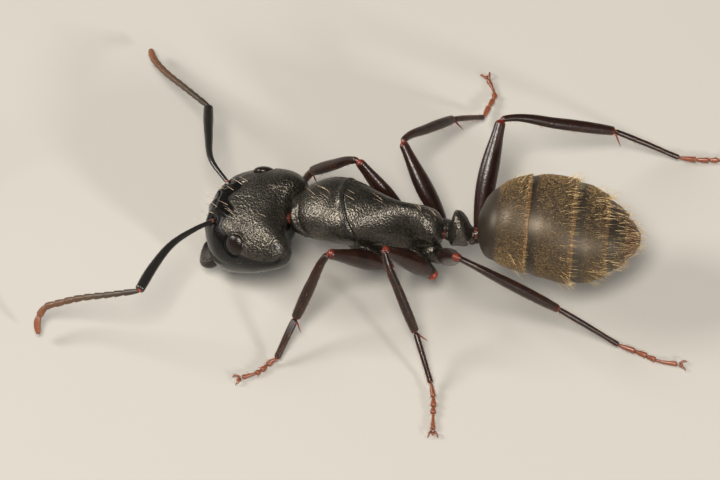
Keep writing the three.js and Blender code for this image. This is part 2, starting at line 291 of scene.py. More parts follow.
def curve(at, knots, values):
    """A smooth curve through values at rising knots; values may hold several columns."""
    at, knots = np.asarray(at, float), np.asarray(knots, float)
    values = np.asarray(values, float)
    flat = values.ndim == 1
    values = values[:, None] if flat else values
    slopes = np.gradient(values, knots, axis=0)
    at = np.clip(at, knots[0], knots[-1])
    low = np.clip(np.searchsorted(knots, at, side="right") - 1, 0, len(knots) - 2)
    gap = (knots[low + 1] - knots[low])[..., None]
    t = (at - knots[low])[..., None] / gap
    start, end = values[low], values[low + 1]
    result = ((2 * t**3 - 3 * t**2 + 1) * start + (t**3 - 2 * t**2 + t) * gap * slopes[low]
              + (3 * t**2 - 2 * t**3) * end + (t**3 - t**2) * gap * slopes[low + 1])
    return result[..., 0] if flat else result


def resample(points, count):
    """A smooth line through points, as count places evenly spaced along it."""
    points = np.asarray(points, float)
    if len(points) == 2:
        return points[0] + np.linspace(0, 1, count)[:, None] * (points[1] - points[0])
    steps = np.concatenate(([0.0], np.cumsum(np.linalg.norm(np.diff(points, axis=0), axis=1))))
    fine = curve(np.linspace(0, steps[-1], 400), steps, points)
    walked = np.concatenate(([0.0], np.cumsum(np.linalg.norm(np.diff(fine, axis=0), axis=1))))
    at = np.linspace(0, walked[-1], count)
    return np.stack([np.interp(at, walked, fine[:, axis]) for axis in range(points.shape[1])], axis=1)


def grid_normals(grid):
    """Outward normals of a grid whose rows are closed rings."""
    around = np.roll(grid, -1, axis=1) - np.roll(grid, 1, axis=1)
    along = np.gradient(grid, axis=0)
    normals = unit(np.cross(around, along))
    middle = grid.mean(axis=1, keepdims=True)
    outward = np.sum(normals * (grid - middle))
    return normals if outward > 0 else -normals


def carve(grid, line, width, height, normals=None):
    """Raises a soft ridge of a stated width and height along a line, or a groove where height is negative.
    It fades out at both ends of the line. normals are the directions it lifts in, else the grid's own."""
    flat = grid.reshape(-1, 3)
    reach = 3.0 * width
    inside = (flat > line.min(axis=0) - reach) & (flat < line.max(axis=0) + reach)
    close = np.flatnonzero(np.all(inside, axis=1))
    share = np.linspace(0, 1, len(line)) if len(line) > 1 else np.array([0.5])
    fades = smooth(share, 0, 0.15) * smooth(1 - share, 0, 0.15)
    strength = np.zeros(len(flat))
    for place, fade in zip(line, fades):
        near = fade * np.exp(-np.sum((flat[close] - place) ** 2, axis=1) / width**2)
        strength[close] = np.maximum(strength[close], near)
    lift = height * strength
    ways = grid_normals(grid) if normals is None else normals
    return grid + ways * lift.reshape(grid.shape[:2])[..., None]


def closed_skin(grid, spans=(0.0, 1.0)):
    """Points, faces and map of a closed skin over a grid of rings, with a fan at each end."""
    rows, around = grid.shape[:2]
    points = np.concatenate((grid.reshape(-1, 3), grid[:1].mean(axis=1), grid[-1:].mean(axis=1)))
    row, column = np.meshgrid(np.arange(rows - 1), np.arange(around), indexing="ij")
    row, column = row.ravel(), column.ravel()
    following = (column + 1) % around
    quads = np.stack((row * around + column, row * around + following,
                      (row + 1) * around + following, (row + 1) * around + column), axis=1)
    along = spans[0] + (spans[1] - spans[0]) * np.linspace(0, 1, rows)
    left, right_side = column / around, (column + 1) / around
    quad_map = np.stack((np.stack((left, right_side, right_side, left), axis=1),
                         np.stack((along[row], along[row], along[row + 1], along[row + 1]), axis=1)), axis=2)
    ring = np.arange(around)
    after = (ring + 1) % around
    hub, last = rows * around, (rows - 1) * around
    fans = np.concatenate((np.stack((after, ring, np.full(around, hub)), axis=1),
                           np.stack((last + ring, last + after, np.full(around, hub + 1)), axis=1)))
    at, beyond, middle = ring / around, (ring + 1) / around, (ring + 0.5) / around
    fan_map = np.concatenate((
        np.stack((np.stack((beyond, at, middle), axis=1), np.full((around, 3), along[0])), axis=2),
        np.stack((np.stack((at, beyond, middle), axis=1), np.full((around, 3), along[-1])), axis=2)))
    skin = {"points": points, "quads": quads, "tris": fans, "quad_map": quad_map, "tri_map": fan_map}
    a, b, c = (points[triangles(skin)[:, corner]] for corner in range(3))
    if np.sum(a * np.cross(b, c)) < 0:
        skin["quads"], skin["tris"] = quads[:, ::-1], fans[:, ::-1]
        skin["quad_map"], skin["tri_map"] = quad_map[:, ::-1], fan_map[:, ::-1]
    return skin


def triangles(skin):
    return np.concatenate((skin["quads"][:, [0, 1, 2]], skin["quads"][:, [0, 2, 3]], skin["tris"]))


def joined(skins):
    """Several closed skins as one piece of mesh."""
    starts = np.cumsum([0] + [len(skin["points"]) for skin in skins])
    whole = {key: np.concatenate([skin[key] for skin in skins]) for key in ("points", "quad_map", "tri_map")}
    for key in ("quads", "tris"):
        whole[key] = np.concatenate([skin[key] + start for skin, start in zip(skins, starts)])
    return whole


def make_piece(name, skin, look, slot, *nodes, polish=None):
    """Turns a skin into a smooth mesh piece of the part, in place of CAD nodes. polish is per point."""
    mesh = bpy.data.meshes.new(name)
    quads, tris = skin["quads"], skin["tris"]
    corners_used = np.concatenate((quads.ravel(), tris.ravel()))
    sizes = np.concatenate((np.full(len(quads), 4), np.full(len(tris), 3)))
    mesh.vertices.add(len(skin["points"]))
    mesh.vertices.foreach_set("co", in_row(skin["points"]).astype(np.float32).ravel())
    mesh.loops.add(len(corners_used))
    mesh.loops.foreach_set("vertex_index", corners_used.astype(np.int32))
    mesh.polygons.add(len(sizes))
    mesh.polygons.foreach_set("loop_start", (np.cumsum(sizes) - sizes).astype(np.int32))
    mesh.polygons.foreach_set("use_smooth", np.ones(len(sizes), bool))
    mesh.update(calc_edges=True)
    shape_map = mesh.uv_layers.new(name="Shape")
    places = np.concatenate((skin["quad_map"].reshape(-1, 2), skin["tri_map"].reshape(-1, 2)))
    shape_map.data.foreach_set("uv", places.astype(np.float32).ravel())
    if polish is not None:
        mesh.attributes.new("polish", "FLOAT", "POINT").data.foreach_set("value", polish.astype(np.float32))
    mesh.validate()
    mesh.materials.append(look)
    settle(put(name, mesh), slot, *nodes)


def settle(piece, slot, *nodes):
    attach(piece, "root")
    if nodes:
        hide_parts(*nodes)


def head_grid():
    """The bare capsule, ring by ring from nape to mouth, in the head's own places."""
    row, column = ring_angles(HEAD_ROWS, HEAD_ROUND)
    along, out, rise = -np.cos(row), np.cos(column), np.sin(column)
    upper, lower = ((1 - np.abs(along) ** bluntness) ** (1 / RING_FULLNESS) for bluntness in END_BLUNTNESS)
    narrowing = 1 - FACE_NARROWING * np.maximum(0, along + 0.25) ** 1.4
    jowl = smooth(along, -0.4, 0.4) * (rise < 0)
    fullness = upper + jowl * (lower - upper)
    half = (HEAD_WIDTH / 2 - HEAD_INSET) * fullness * narrowing
    brow = (FACE_DEPTH - HEAD_INSET) * fullness * (1 - BROW_FALL * np.maximum(0, along - 0.45))
    throat = (THROAT_DEPTH - HEAD_INSET) * fullness
    across = np.sign(out) * np.abs(out) ** (0.9 - 0.22 * jowl) * half
    up = np.where(rise > 0, rise * brow, -np.abs(rise) ** (1 - 0.15 * jowl) * throat)
    share = np.minimum(np.abs(across) / (HEAD_WIDTH / 2) / LOBE_PEAK, 1)
    lobe = NAPE_LOBES * np.sin(share * math.pi / 2) ** 3 * smooth(-along, -0.2, 1)
    forward = along * (HEAD_LENGTH / 2 - HEAD_INSET) - lobe
    return np.stack((across, -forward, up), axis=-1)


def on_face(grid, line, side, count=160):
    """A line of out and back places, laid on the upper or lower face of the head."""
    flat = grid.reshape(-1, 3)
    flat = flat[flat[:, 2] * side > 0]
    spots = resample(line, count) if count and len(line) > 1 else np.array(line, float)
    return np.column_stack((spots, flat[nearest(flat[:, :2], spots), 2]))


def eye_turn(mirror):
    return np.array(Matrix.Rotation(-EYE_TILT * mirror, 3, "Y"))


bare_head = head_grid()
head = bare_head
for lines, side in ((FACE_LINES, 1), (THROAT_LINES, -1)):
    for line, width, height in lines:
        for mirror in (1, -1) if line[0][0] or line[-1][0] else (1,):
            laid = on_face(bare_head, [(mirror * x, y) for x, y in line], side)
            head = carve(head, laid, width, height)
for (out, backward), width, height in FACE_PITS:
    for mirror in (1, -1) if out else (1,):
        head = carve(head, on_face(bare_head, [(mirror * out, backward)], 1), width, height)
for mirror in (1, -1):
    depth_in_eye = np.linalg.norm(((head - on_side(EYE_SEAT, mirror)) @ eye_turn(mirror)) / EYE_SIZE, axis=-1)
    rim = -GROOVE_DEPTH * np.exp(-((depth_in_eye - GROOVE_PLACE) / GROOVE_WIDTH) ** 2)
    rim = rim - HOLLOW_DEPTH * (1 - smooth(depth_in_eye, 0.75, 1.0))
    head = head + grid_normals(head) * rim[..., None]

# The middle and the size of the smooth patch on each rear lobe, and the share of the net that it takes away.
SMOOTH_CORNER, CORNER_SIZE, CORNER_SHARE = (1.0, 1.13, 0.24), 0.19, 0.95
SHELL_BLACK, SHELL_GLEAM = (0.0022, 0.002, 0.0018, 1), (0.088, 0.079, 0.066, 1)
NET_SCALE, FINE_NET_SCALE, NET_DEPTH = 18500.0, 43000.0, 15e-6


def shell_look(name):
    """Black shell under a fine raised net that gleams brown, and smooth where "polish" is 1."""
    paint = Paint(name)
    patches = paint.noise(1500.0, 4.0)
    rough = 1 - Value(paint, paint.node("ShaderNodeAttribute", {"attribute_name": "polish"}).outputs["Fac"])
    net = paint.cells(NET_SCALE) + paint.cells(FINE_NET_SCALE) * 0.3
    gleam = paint.between(rough, 0.0, 0.5)
    brown = (paint.between(patches, 0.36, 0.66) * 0.3 + paint.between(net, 0.35, 0.8) * 0.4 + 0.3) * gleam
    return paint.finish(
        Base_Color=paint.blend(brown, SHELL_BLACK, SHELL_GLEAM),
        Metallic=gleam * 0.85,
        Roughness=0.24 + gleam * 0.09 + (patches - 0.5) * 0.16,
        Specular_IOR_Level=0.28,
        Normal=paint.bump((net + paint.noise(5200.0, 3.0) * 0.35) * (rough * 0.94 + 0.06), NET_DEPTH))


netted_black = shell_look("netted_black")
head_skin = closed_skin(from_head(head))
behind_face = smooth(bare_head[..., 1] + 0.12 * np.cos(bare_head[..., 0] * 9), -0.12, 0.04)
above_cheek = smooth(bare_head[..., 2] + 0.5 * bare_head[..., 1], 0.42, 0.68)
corner_gap = np.linalg.norm(np.abs(bare_head) * (1, 1, 0) + bare_head * (0, 0, 1) - SMOOTH_CORNER, axis=-1)
off_corner = 1 - CORNER_SHARE * np.exp(-(corner_gap / CORNER_SIZE) ** 2)
netted = np.append((behind_face * above_cheek * off_corner).ravel(), (0.0, 0.0))
make_piece("head_capsule", head_skin, netted_black, "black_shell", "head", polish=1 - netted)

# --- Eyes --------------------------------------------------------------------------------------------------
# Each eye is a low oval dome of some 260 lenses, set in a narrow rim. Every lens is a small dome in the mesh,
# spread in a spiral so that they pack in a near honeycomb.
# The lenses are counted over the whole ball, of which the head hides more than half.
EYE_LENSES = 620
LENS_RISE, EYE_INSET = 0.0022, 0.006
EYE_ROWS, EYE_ROUND = 110, 150


def eye_grid(mirror):
    def on_ball(polar, spin):
        return np.stack((np.cos(polar), np.sin(polar) * np.cos(spin), np.sin(polar) * np.sin(spin)), axis=-1)

    ball = on_ball(*ring_angles(EYE_ROWS, EYE_ROUND))
    count = np.arange(EYE_LENSES) + 0.5
    lenses = on_ball(np.arccos(1 - 2 * count / EYE_LENSES), math.pi * (1 + math.sqrt(5)) * count)
    off = np.arccos(np.clip(np.max(ball.reshape(-1, 3) @ lenses.T, axis=1), -1, 1)).reshape(ball.shape[:2])
    radius = math.sqrt(4 * math.pi / EYE_LENSES) / 2
    dome = LENS_RISE * (1 - np.minimum(off / radius, 1.2) ** 2)
    domed = ball * (EYE_SIZE - EYE_INSET) + ball * dome[..., None]
    return on_side(domed, mirror) @ eye_turn(mirror).T + on_side(EYE_SEAT, mirror)


eye_paint = Paint("eye_paint")
eye_look = eye_paint.finish(
    Base_Color=eye_paint.blend(eye_paint.noise(6000.0), (0.004, 0.0024, 0.002, 1), (0.012, 0.0066, 0.005, 1)),
    Roughness=0.26, Specular_IOR_Level=0.32)
SIDES = {"left": 1, "right": -1}
for side_name, mirror in SIDES.items():
    eye_skin = closed_skin(from_head(eye_grid(mirror)))
    make_piece(f"{side_name}_compound_eye", eye_skin, eye_look, "compound_eye", f"{side_name}_eye")

# --- Mandibles and mouthparts ------------------------------------------------------------------------------
# Each mandible is a stout bent blade of glossy black shell with five teeth on its inner edge, hinged at the
# cheek and a little open. Below them lie the lower lip and two pairs of jointed palps.
# Outer and inner edges of the left blade and its half thickness, from hinge to tip, in head places.
BLADE_OUTER = [(0.82, -0.58, -0.24), (0.97, -1.05, -0.5), (0.82, -1.38, -0.6), (0.46, -1.53, -0.64),
               (0.1, -1.53, -0.63)]
BLADE_INNER = [(0.5, -0.68, -0.3), (0.42, -0.88, -0.48), (0.27, -1.02, -0.6), (0.14, -1.16, -0.67),
               (0.05, -1.42, -0.7)]
BLADE_THICK = [0.17, 0.18, 0.15, 0.1, 0.05]
BLADE_ROWS, BLADE_ROUND = 140, 48
TEETH, TOOTH_LENGTH, BLADE_TIP = 5, 0.05, 0.08


def frame_along(line, sideways):
    """Side and lift directions along a line, kept square to it and near a stated sideways direction."""
    tangents = unit(np.gradient(line, axis=0))
    lifts = unit(np.cross(np.broadcast_to(np.asarray(sideways, float), tangents.shape), tangents))
    return unit(np.cross(tangents, lifts)), lifts


def eased(count):
    """Shares from 0 to 1 that lie closer together at both ends."""
    return (1 - np.cos(np.linspace(0, math.pi, count))) / 2


def dome_end(gap, reach, least=0.0):
    """How full a round end is: 0 at the end itself and 1 from a stated reach on."""
    return np.sqrt(1 - (1 - np.clip(gap / reach, least, 1)) ** 2)


def tube(points, radii, thick=None, sideways=(0, 0, 1), rows=40, around=24, round_start=1.0, round_end=1.0,
         spans=(0.0, 1.0), relief=None):
    """A closed limb along a line, domed at both ends. radii and thick are half sizes from start to end."""
    share = eased(rows)
    fine = resample(points, 200)
    line = np.stack([np.interp(share, np.linspace(0, 1, 200), fine[:, axis]) for axis in range(3)], axis=1)
    side_way, lift_way = frame_along(line, sideways)
    length = np.sum(np.linalg.norm(np.diff(fine, axis=0), axis=1))
    knots = np.linspace(0, 1, len(radii))
    wide = curve(share, knots, radii)
    deep = curve(share, np.linspace(0, 1, len(thick)), thick) if thick is not None else wide
    close = np.ones(rows)
    ends = ((share, round_start, radii[0]), (1 - share, round_end, radii[-1]))
    for gap, ratio, end in ends:
        close = close * dome_end(gap * length, max(end * ratio, 1e-6), 0.02)
    turns = full_turn(around)
    swell = np.ones((rows, around)) if relief is None else relief(share[:, None], turns[None, :])
    across = (wide * close)[:, None] * np.cos(turns) * swell
    up = (deep * close)[:, None] * np.sin(turns) * swell
    grid = line[:, None] + across[..., None] * side_way[:, None] + up[..., None] * lift_way[:, None]
    return closed_skin(grid, spans)


def mandible(mirror):
    share = np.linspace(0.0, 1.0, BLADE_ROWS)
    knots = np.linspace(0.0, 1.0, len(BLADE_THICK))
    outer, inner = (curve(share, knots, from_head(on_side(edge, mirror)))
                    for edge in (BLADE_OUTER, BLADE_INNER))
    phase = (share - 0.5) * 2 * TEETH + (0.25 if mirror > 0 else 0.75)
    tooth = np.where(share > 0.5, (1 - phase % 1) ** 1.5, 0) * TOOTH_LENGTH
    inner = inner + unit(inner - outer) * tooth[:, None]
    thickness = curve(share, knots, BLADE_THICK)
    close = dome_end(1 - share, BLADE_TIP, 0.01)
    along = unit(np.gradient((outer + inner) / 2, axis=0))
    through = unit(np.cross(outer - inner, along))
    turns = full_turn(BLADE_ROUND)
    across = np.sign(np.cos(turns)) * np.abs(np.cos(turns)) ** 0.9
    deep = np.sin(turns) * (0.45 + 0.55 * (across + 1) / 2)
    grid = ((outer + inner) / 2)[:, None] + across[:, None] * ((outer - inner) / 2 * close[:, None])[:, None]
    grid = grid + deep[:, None] * (through * (thickness * close)[:, None])[:, None]
    return closed_skin(grid)


GLOSSY_BLACKS = (0.004, 0.0032, 0.0026, 1), (0.013, 0.009, 0.006, 1)
glossy_paint = Paint("glossy_black")
glossy_black = glossy_paint.finish(
    Base_Color=glossy_paint.blend(glossy_paint.noise(2500.0), *GLOSSY_BLACKS),
    Specular_IOR_Level=0.35,
    Roughness=0.2 + glossy_paint.noise(9000.0) * 0.14,
    Normal=glossy_paint.bump(glossy_paint.cells(22000.0, "SMOOTH_F1"), 0.8e-6))
blades = {}
for side_name, mirror in SIDES.items():
    blades[side_name] = mandible(mirror)
    make_piece(f"{side_name}_mandible_blade", blades[side_name], glossy_black, "glossy_shell",
               f"{side_name}_mandible")

PALPS = {
    # name: joints, in head places on the left side, and their half thickness
    "maxillary": ([(0.3, -0.82, -0.74), (0.42, -0.96, -0.9), (0.47, -0.84, -1.02), (0.46, -0.62, -1.07),
                   (0.43, -0.4, -1.08), (0.38, -0.2, -1.07)], 0.03),
    "labial": ([(0.1, -0.9, -0.8), (0.16, -1.0, -0.92), (0.2, -0.88, -1.0), (0.2, -0.72, -1.03)], 0.026),
}
LIP = [(0, -0.55, -0.78), (0, -0.8, -0.86), (0, -1.0, -0.82)]
LIP_LOBE = [(0.24, -0.5, -0.78), (0.3, -0.78, -0.82), (0.24, -1.0, -0.74)]


def palps():
    skins = []
    for mirror in SIDES.values():
        for joints, thickness in PALPS.values():
            places = from_head(on_side(joints, mirror))
            for start, end in zip(places, places[1:]):
                skins.append(tube([start, end], [thickness * 0.7, thickness, thickness * 0.9], None,
                                  (1, 0, 0.2), 12, 12))
    skins.append(tube(from_head(LIP), [0.16, 0.2, 0.12], [0.09, 0.11, 0.07], (1, 0, 0), 20, 24))
    for mirror in SIDES.values():
        lobe = from_head(on_side(LIP_LOBE, mirror))
        skins.append(tube(lobe, [0.11, 0.13, 0.08], [0.07, 0.09, 0.06], (1, 0, 0), 20, 24))
    return joined(skins)


leg_paint = Paint("leg_shell")
_, along_leg = leg_paint.map_axes()
leg_ends = leg_paint.maths("MAXIMUM", leg_paint.between(along_leg, 0.84, 0.99),
                           1 - leg_paint.between(along_leg, 0.01, 0.1))
leg_net = leg_paint.cells(26000.0, "SMOOTH_F1") + leg_paint.noise(80000.0, 2.0) * 0.3
leg_dark = leg_paint.blend(leg_paint.noise(2200.0), (0.004, 0.0024, 0.002, 1), (0.021, 0.0065, 0.0038, 1))
leg_brown = leg_paint.finish(
    Base_Color=leg_paint.blend(leg_ends * 0.9, leg_dark, (0.16, 0.02, 0.009, 1)),
    Roughness=0.31 + (leg_paint.noise(3000.0) - 0.5) * 0.16, Specular_IOR_Level=0.38,
    Normal=leg_paint.bump(leg_net, 3.5e-6))
make_piece("mouthparts", palps(), leg_brown, "leg_shell")

# --- Feelers -----------------------------------------------------------------------------------------------
# A feeler is a long bent scape on a ball in its pit, then eleven short rings that end in a blunt tip. The
# scape is glossy black, red at both ends, and the lash goes from olive brown to orange.
FEELERS = {
    "left": {
        "scape": [(0.75, -4.59, 2.24), (1.25, -5.04, 2.34), (2.01, -5.42, 2.42), (2.73, -5.67, 2.47)],
        "lash": [(2.6, -6.43, 2.0), (2.45, -7.09, 1.55), (2.37, -7.56, 1.18), (2.35, -7.98, 0.82),
                 (2.54, -8.12, 0.54), (2.72, -8.09, 0.3)],
    },
    "right": {
        "scape": [(-1.37, -4.43, 2.02), (-2.19, -4.59, 1.85), (-3.15, -4.7, 1.66)],
        "lash": [(-3.99, -5.4, 1.2), (-4.68, -5.94, 0.8), (-5.23, -6.26, 0.5), (-5.62, -6.38, 0.3)],
    },
}
SCAPE_RADII = [0.05, 0.057, 0.067, 0.08, 0.095, 0.109, 0.12, 0.112]
LASH_RINGS = 11
LASH_LENGTHS = [1.5, 0.85] + [1.0] * 8 + [1.5]
LASH_RADII = [0.068, 0.084]
RING_TAPER, TIP_TAPER = (0.62, 0.86, 0.98, 1.05, 1.08), (0.66, 0.98, 1.0, 0.9, 0.6)

scape_paint = Paint("scape_shell")
_, along_scape = scape_paint.map_axes()
scape_ends = scape_paint.maths("MAXIMUM", scape_paint.between(along_scape, 0.94, 0.99),
                               1 - scape_paint.between(along_scape, 0.05, 0.12))
scape_look = scape_paint.finish(
    Base_Color=scape_paint.blend(scape_ends, (0.009, 0.008, 0.007, 1), (0.3, 0.045, 0.018, 1)),
    Roughness=0.24 + scape_paint.noise(9000.0) * 0.12,
    Normal=scape_paint.bump(scape_paint.cells(26000.0), 3e-6))

lash_paint = Paint("lash_shell")
ring_share, along_lash = lash_paint.map_axes()
lash_colour = lash_paint.node("ShaderNodeValToRGB", {"stops": [
    (0.0, (0.018, 0.011, 0.007)), (0.35, (0.045, 0.028, 0.013)), (0.75, (0.09, 0.036, 0.015)),
    (1.0, (0.19, 0.055, 0.022))]}, {0: along_lash}).outputs[0]
ring_end = lash_paint.between(ring_share, 0.86, 0.98)
lash_look = lash_paint.finish(
    Base_Color=lash_paint.blend(ring_end, lash_colour, (0.2, 0.06, 0.02, 1)),
    Roughness=0.42 + (lash_paint.noise(6000.0) - 0.5) * 0.2,
    Normal=lash_paint.bump(lash_paint.noise(60000.0, 3.0), 2.0e-6))


def lash(points):
    """The eleven rings, with the place within each ring and the place along the lash as their map."""
    fine = resample(points, 400)
    marks = np.concatenate(([0.0], np.cumsum(LASH_LENGTHS)))
    marks = marks / marks[-1]
    rings = []
    for ring in range(LASH_RINGS):
        first, last = (int(mark * 399) for mark in marks[ring:ring + 2])
        start = max(first - 3, 0)
        size = LASH_RADII[0] + (LASH_RADII[1] - LASH_RADII[0]) * marks[ring]
        taper, roundness = (TIP_TAPER, 1.0) if ring == LASH_RINGS - 1 else (RING_TAPER, 0.35)
        skin = tube(fine[start:last + 1:max((last - start) // 8, 1)], [size * share for share in taper], None,
                    (0, 0, 1), 22, 20, 0.5, roundness, (marks[ring], marks[ring + 1]))
        for key in ("quad_map", "tri_map"):
            spread = skin[key].copy()
            spread[..., 0] = (spread[..., 1] - marks[ring]) / (marks[ring + 1] - marks[ring])
            skin[key] = spread
        rings.append(skin)
    return joined(rings)


# Each feeler part with the line it follows.
feeler_parts = {}
for side_name, mirror in SIDES.items():
    parts = FEELERS[side_name]
    socket = from_head(on_side(SOCKET, mirror))
    scape_line = [socket, *parts["scape"]]
    ball = tube([socket - (0, 0, 0.03), socket + (0, 0, 0.05)], [0.07, 0.085, 0.07], None, (1, 0, 0), 16, 20)
    shaft = tube(scape_line, SCAPE_RADII, None, (0, 0, 1), 90, 28, 1.0, 0.7)
    feeler_parts[f"{side_name}_scape"] = (shaft, scape_line)
    make_piece(f"{side_name}_scape_shaft", joined([shaft, ball]), scape_look, "glossy_shell",
               f"{side_name}_scape")
    rings = lash([parts["scape"][-1], *parts["lash"]])
    feeler_parts[f"{side_name}_lash"] = (rings, parts["lash"])
    make_piece(f"{side_name}_lash", rings, lash_look, "feeler_shell", f"{side_name}_funiculus_base",
               f"{side_name}_funiculus_tip")

# --- Trunk plates ------------------------------------------------------------------------------------------
# Three hard plates of netted black shell: the domed pronotum behind the neck, the shield and flanks that
# carry the middle legs, and the narrow rear block. Each rolls under at its seams, where it meets the next.
# Sections from front to back: y, side shift, half width, top, height of the widest point, bottom.
MESOSOMA = np.array([
    [-2.46, 0, 0.22, 2.22, 2.02, 1.82],
    [-2.36, 0, 0.38, 2.42, 2.05, 1.76],
    [-2.15, 0, 0.58, 2.66, 2.18, 1.72],
    [-1.8, 0, 0.72, 2.87, 2.32, 1.68],
    [-1.35, 0, 0.79, 2.99, 2.38, 1.58],
    [-0.9, 0, 0.73, 2.98, 2.36, 1.42],
    [-0.45, 0, 0.63, 2.91, 2.22, 1.25],
    [0, 0, 0.58, 2.8, 2.05, 1.15],
    [0.4, 0, 0.52, 2.71, 2.0, 1.18],
    [0.75, 0, 0.46, 2.57, 1.97, 1.3],
    [1.0, 0, 0.38, 2.3, 1.92, 1.42],
    [1.14, 0, 0.24, 2.0, 1.85, 1.55],
])
BODY_INSET = 0.01
# Where each seam lies, at these angles down from the back's midline.
SEAM_ANGLES = [0, 45, 90, 135, 180]
FRONT_SEAM = [-2.45, -2.45, -2.45, -2.45, -2.45]
SHIELD_SEAM = [-1.2, -1.05, -0.84, -0.92, -1.05]
REAR_SEAM = [0.02, 0.04, 0.16, 0.28, 0.3]
LAST_SEAM = [1.13, 1.13, 1.13, 1.13, 1.13]
SEAM_ROLLS = {"front": 0.03, "shield": 0.026, "rear": 0.002}
# How much the back narrows to a roof, at these places along the trunk: below 1 is boxy, above 1 is a ridge.
ROOF_PLACES = [-2.5, -1.2, -0.6, 0.0, 0.7, 1.15]
ROOF_POWERS = [0.95, 0.92, 1.0, 1.4, 1.3, 1.05]
# How far the flanks are pinched in behind the shield, as a share of the half width at these places.
WAIST_PLACES = [-2.5, -0.7, -0.3, 0.15, 0.5, 0.9, 1.15]
WAIST_PINCH = [0.0, 0.0, 0.12, 0.24, 0.15, 0.0, 0.0]
PINCH_FROM, PINCH_TO = (5, 48), (88, 125)
# Lines as y and degrees down from the midline, then width and height.
TRUNK_LINES = {
    "pronotum": [([(-2.36, 0), (-2.34, 50), (-2.2, 80), (-1.86, 108)], 0.055, 0.045),
                 ([(-2.26, 0), (-2.22, 50), (-2.06, 80), (-1.76, 104)], 0.05, -0.03),
                 ([(-1.26, -25), (-1.28, 0), (-1.13, 45), (-0.92, 92)], 0.06, 0.026)],
    "mesonotum": [([(-0.86, 86), (-0.4, 74), (0.1, 66)], 0.035, -0.012),
                  ([(-0.55, 112), (-0.25, 104), (0.12, 100)], 0.03, -0.025)],
    "propodeum": [([(0.45, 100), (0.8, 104), (1.05, 110)], 0.035, -0.03),
                  ([(0.1, 84), (0.5, 82), (0.95, 88)], 0.05, 0.02)],
}
TRUNK_POLISH, LINE_POLISH, POLISH_REACH = 0.48, 0.85, (0.03, 0.075)
POLISHED_LINES = {"pronotum": [TRUNK_LINES["pronotum"][0][0], TRUNK_LINES["pronotum"][2][0]]}
SPIRACLES = {"propodeum": [(0.56, 76, 0.045)]}


def barrel(sections, y, turns, roof=1.0, inset=BODY_INSET):
    """Places on a body part through its sections, at y and at angles from its left side over the top."""
    shift, half, top, waist, bottom = np.moveaxis(curve(y, sections[:, 0], sections[:, 1:]), -1, 0)
    out, rise = np.cos(turns), np.sin(turns)
    height = np.where(rise > 0, top - waist, waist - bottom) - inset
    across = np.sign(out) * np.abs(out) ** np.where(rise > 0, roof, 0.95) * (half - inset)
    return np.stack((shift + across, y, waist + rise * height), axis=-1)


def trunk_place(y, turns):
    below = down_from_top(turns)
    flank = smooth(below, *PINCH_FROM) * (1 - smooth(below, *PINCH_TO))
    pinch = 1 - curve(y, WAIST_PLACES, WAIST_PINCH) * flank
    return barrel(MESOSOMA, y, turns, curve(y, ROOF_PLACES, ROOF_POWERS)) * np.stack(
        (pinch, np.ones_like(pinch), np.ones_like(pinch)), axis=-1)


def petiole_place(y, turns):
    return barrel(PETIOLE, y, turns)


def down_from_top(turns):
    return np.degrees(np.abs((turns - math.pi / 2 + math.pi) % (2 * math.pi) - math.pi))


def plate_grid(place, front, rear, rows, around, rolls):
    """A plate between two seams, each given at SEAM_ANGLES, rolled under at both by the stated depths."""
    turns = full_turn(around)
    below = down_from_top(turns)
    starts, ends = curve(below, SEAM_ANGLES, front), curve(below, SEAM_ANGLES, rear)
    y = starts + eased(rows)[:, None] * (ends - starts)
    grid = place(y, np.broadcast_to(turns, y.shape))
    lift = 0.0
    for gap, roll in ((y - starts, rolls[0]), (ends - y, rolls[1])):
        lift = lift - roll * (1 - dome_end(gap, roll))
    normals = grid_normals(grid)
    return grid + normals * lift[..., None], normals


def body_line(place, line, mirror, count=120):
    """A line of y and degrees down from the midline, laid on one side of a body part."""
    spots = resample(line, count) if len(line) > 1 else np.array(line, float)
    return place(spots[:, 0], math.pi / 2 - np.radians(spots[:, 1]) * mirror)


PLATES = [("pronotum", FRONT_SEAM, SHIELD_SEAM, ("front", "shield")),
          ("mesonotum", SHIELD_SEAM, REAR_SEAM, ("shield", "rear")),
          ("propodeum", REAR_SEAM, LAST_SEAM, ("rear", "front"))]
trunk_skins = {}
for plate, front, rear, rolls in PLATES:
    grid, normals = plate_grid(trunk_place, front, rear, 150, 190, [SEAM_ROLLS[roll] for roll in rolls])
    for line, width, height in TRUNK_LINES[plate]:
        for mirror in SIDES.values():
            grid = carve(grid, body_line(trunk_place, line, mirror), width, height, normals)
    for y, below, size in SPIRACLES.get(plate, []):
        for mirror in SIDES.values():
            spot = body_line(trunk_place, [(y, below)], mirror)
            grid = carve(grid, spot, size * 1.5, size * 0.9, normals)
            grid = carve(grid, spot, size * 0.6, -size * 1.3, normals)
    polished = np.full(grid.shape[:2], TRUNK_POLISH)
    for line in POLISHED_LINES.get(plate, []):
        for mirror in SIDES.values():
            gaps = np.linalg.norm(grid[:, :, None] - body_line(trunk_place, line, mirror, 60), axis=-1)
            polished = np.maximum(polished, LINE_POLISH - smooth(np.min(gaps, axis=-1), *POLISH_REACH))
    trunk_skins[plate] = closed_skin(grid)
    make_piece(f"{plate}_plate", trunk_skins[plate], netted_black, "black_shell", plate,
               polish=np.append(polished.ravel(), (0.0, 0.0)))

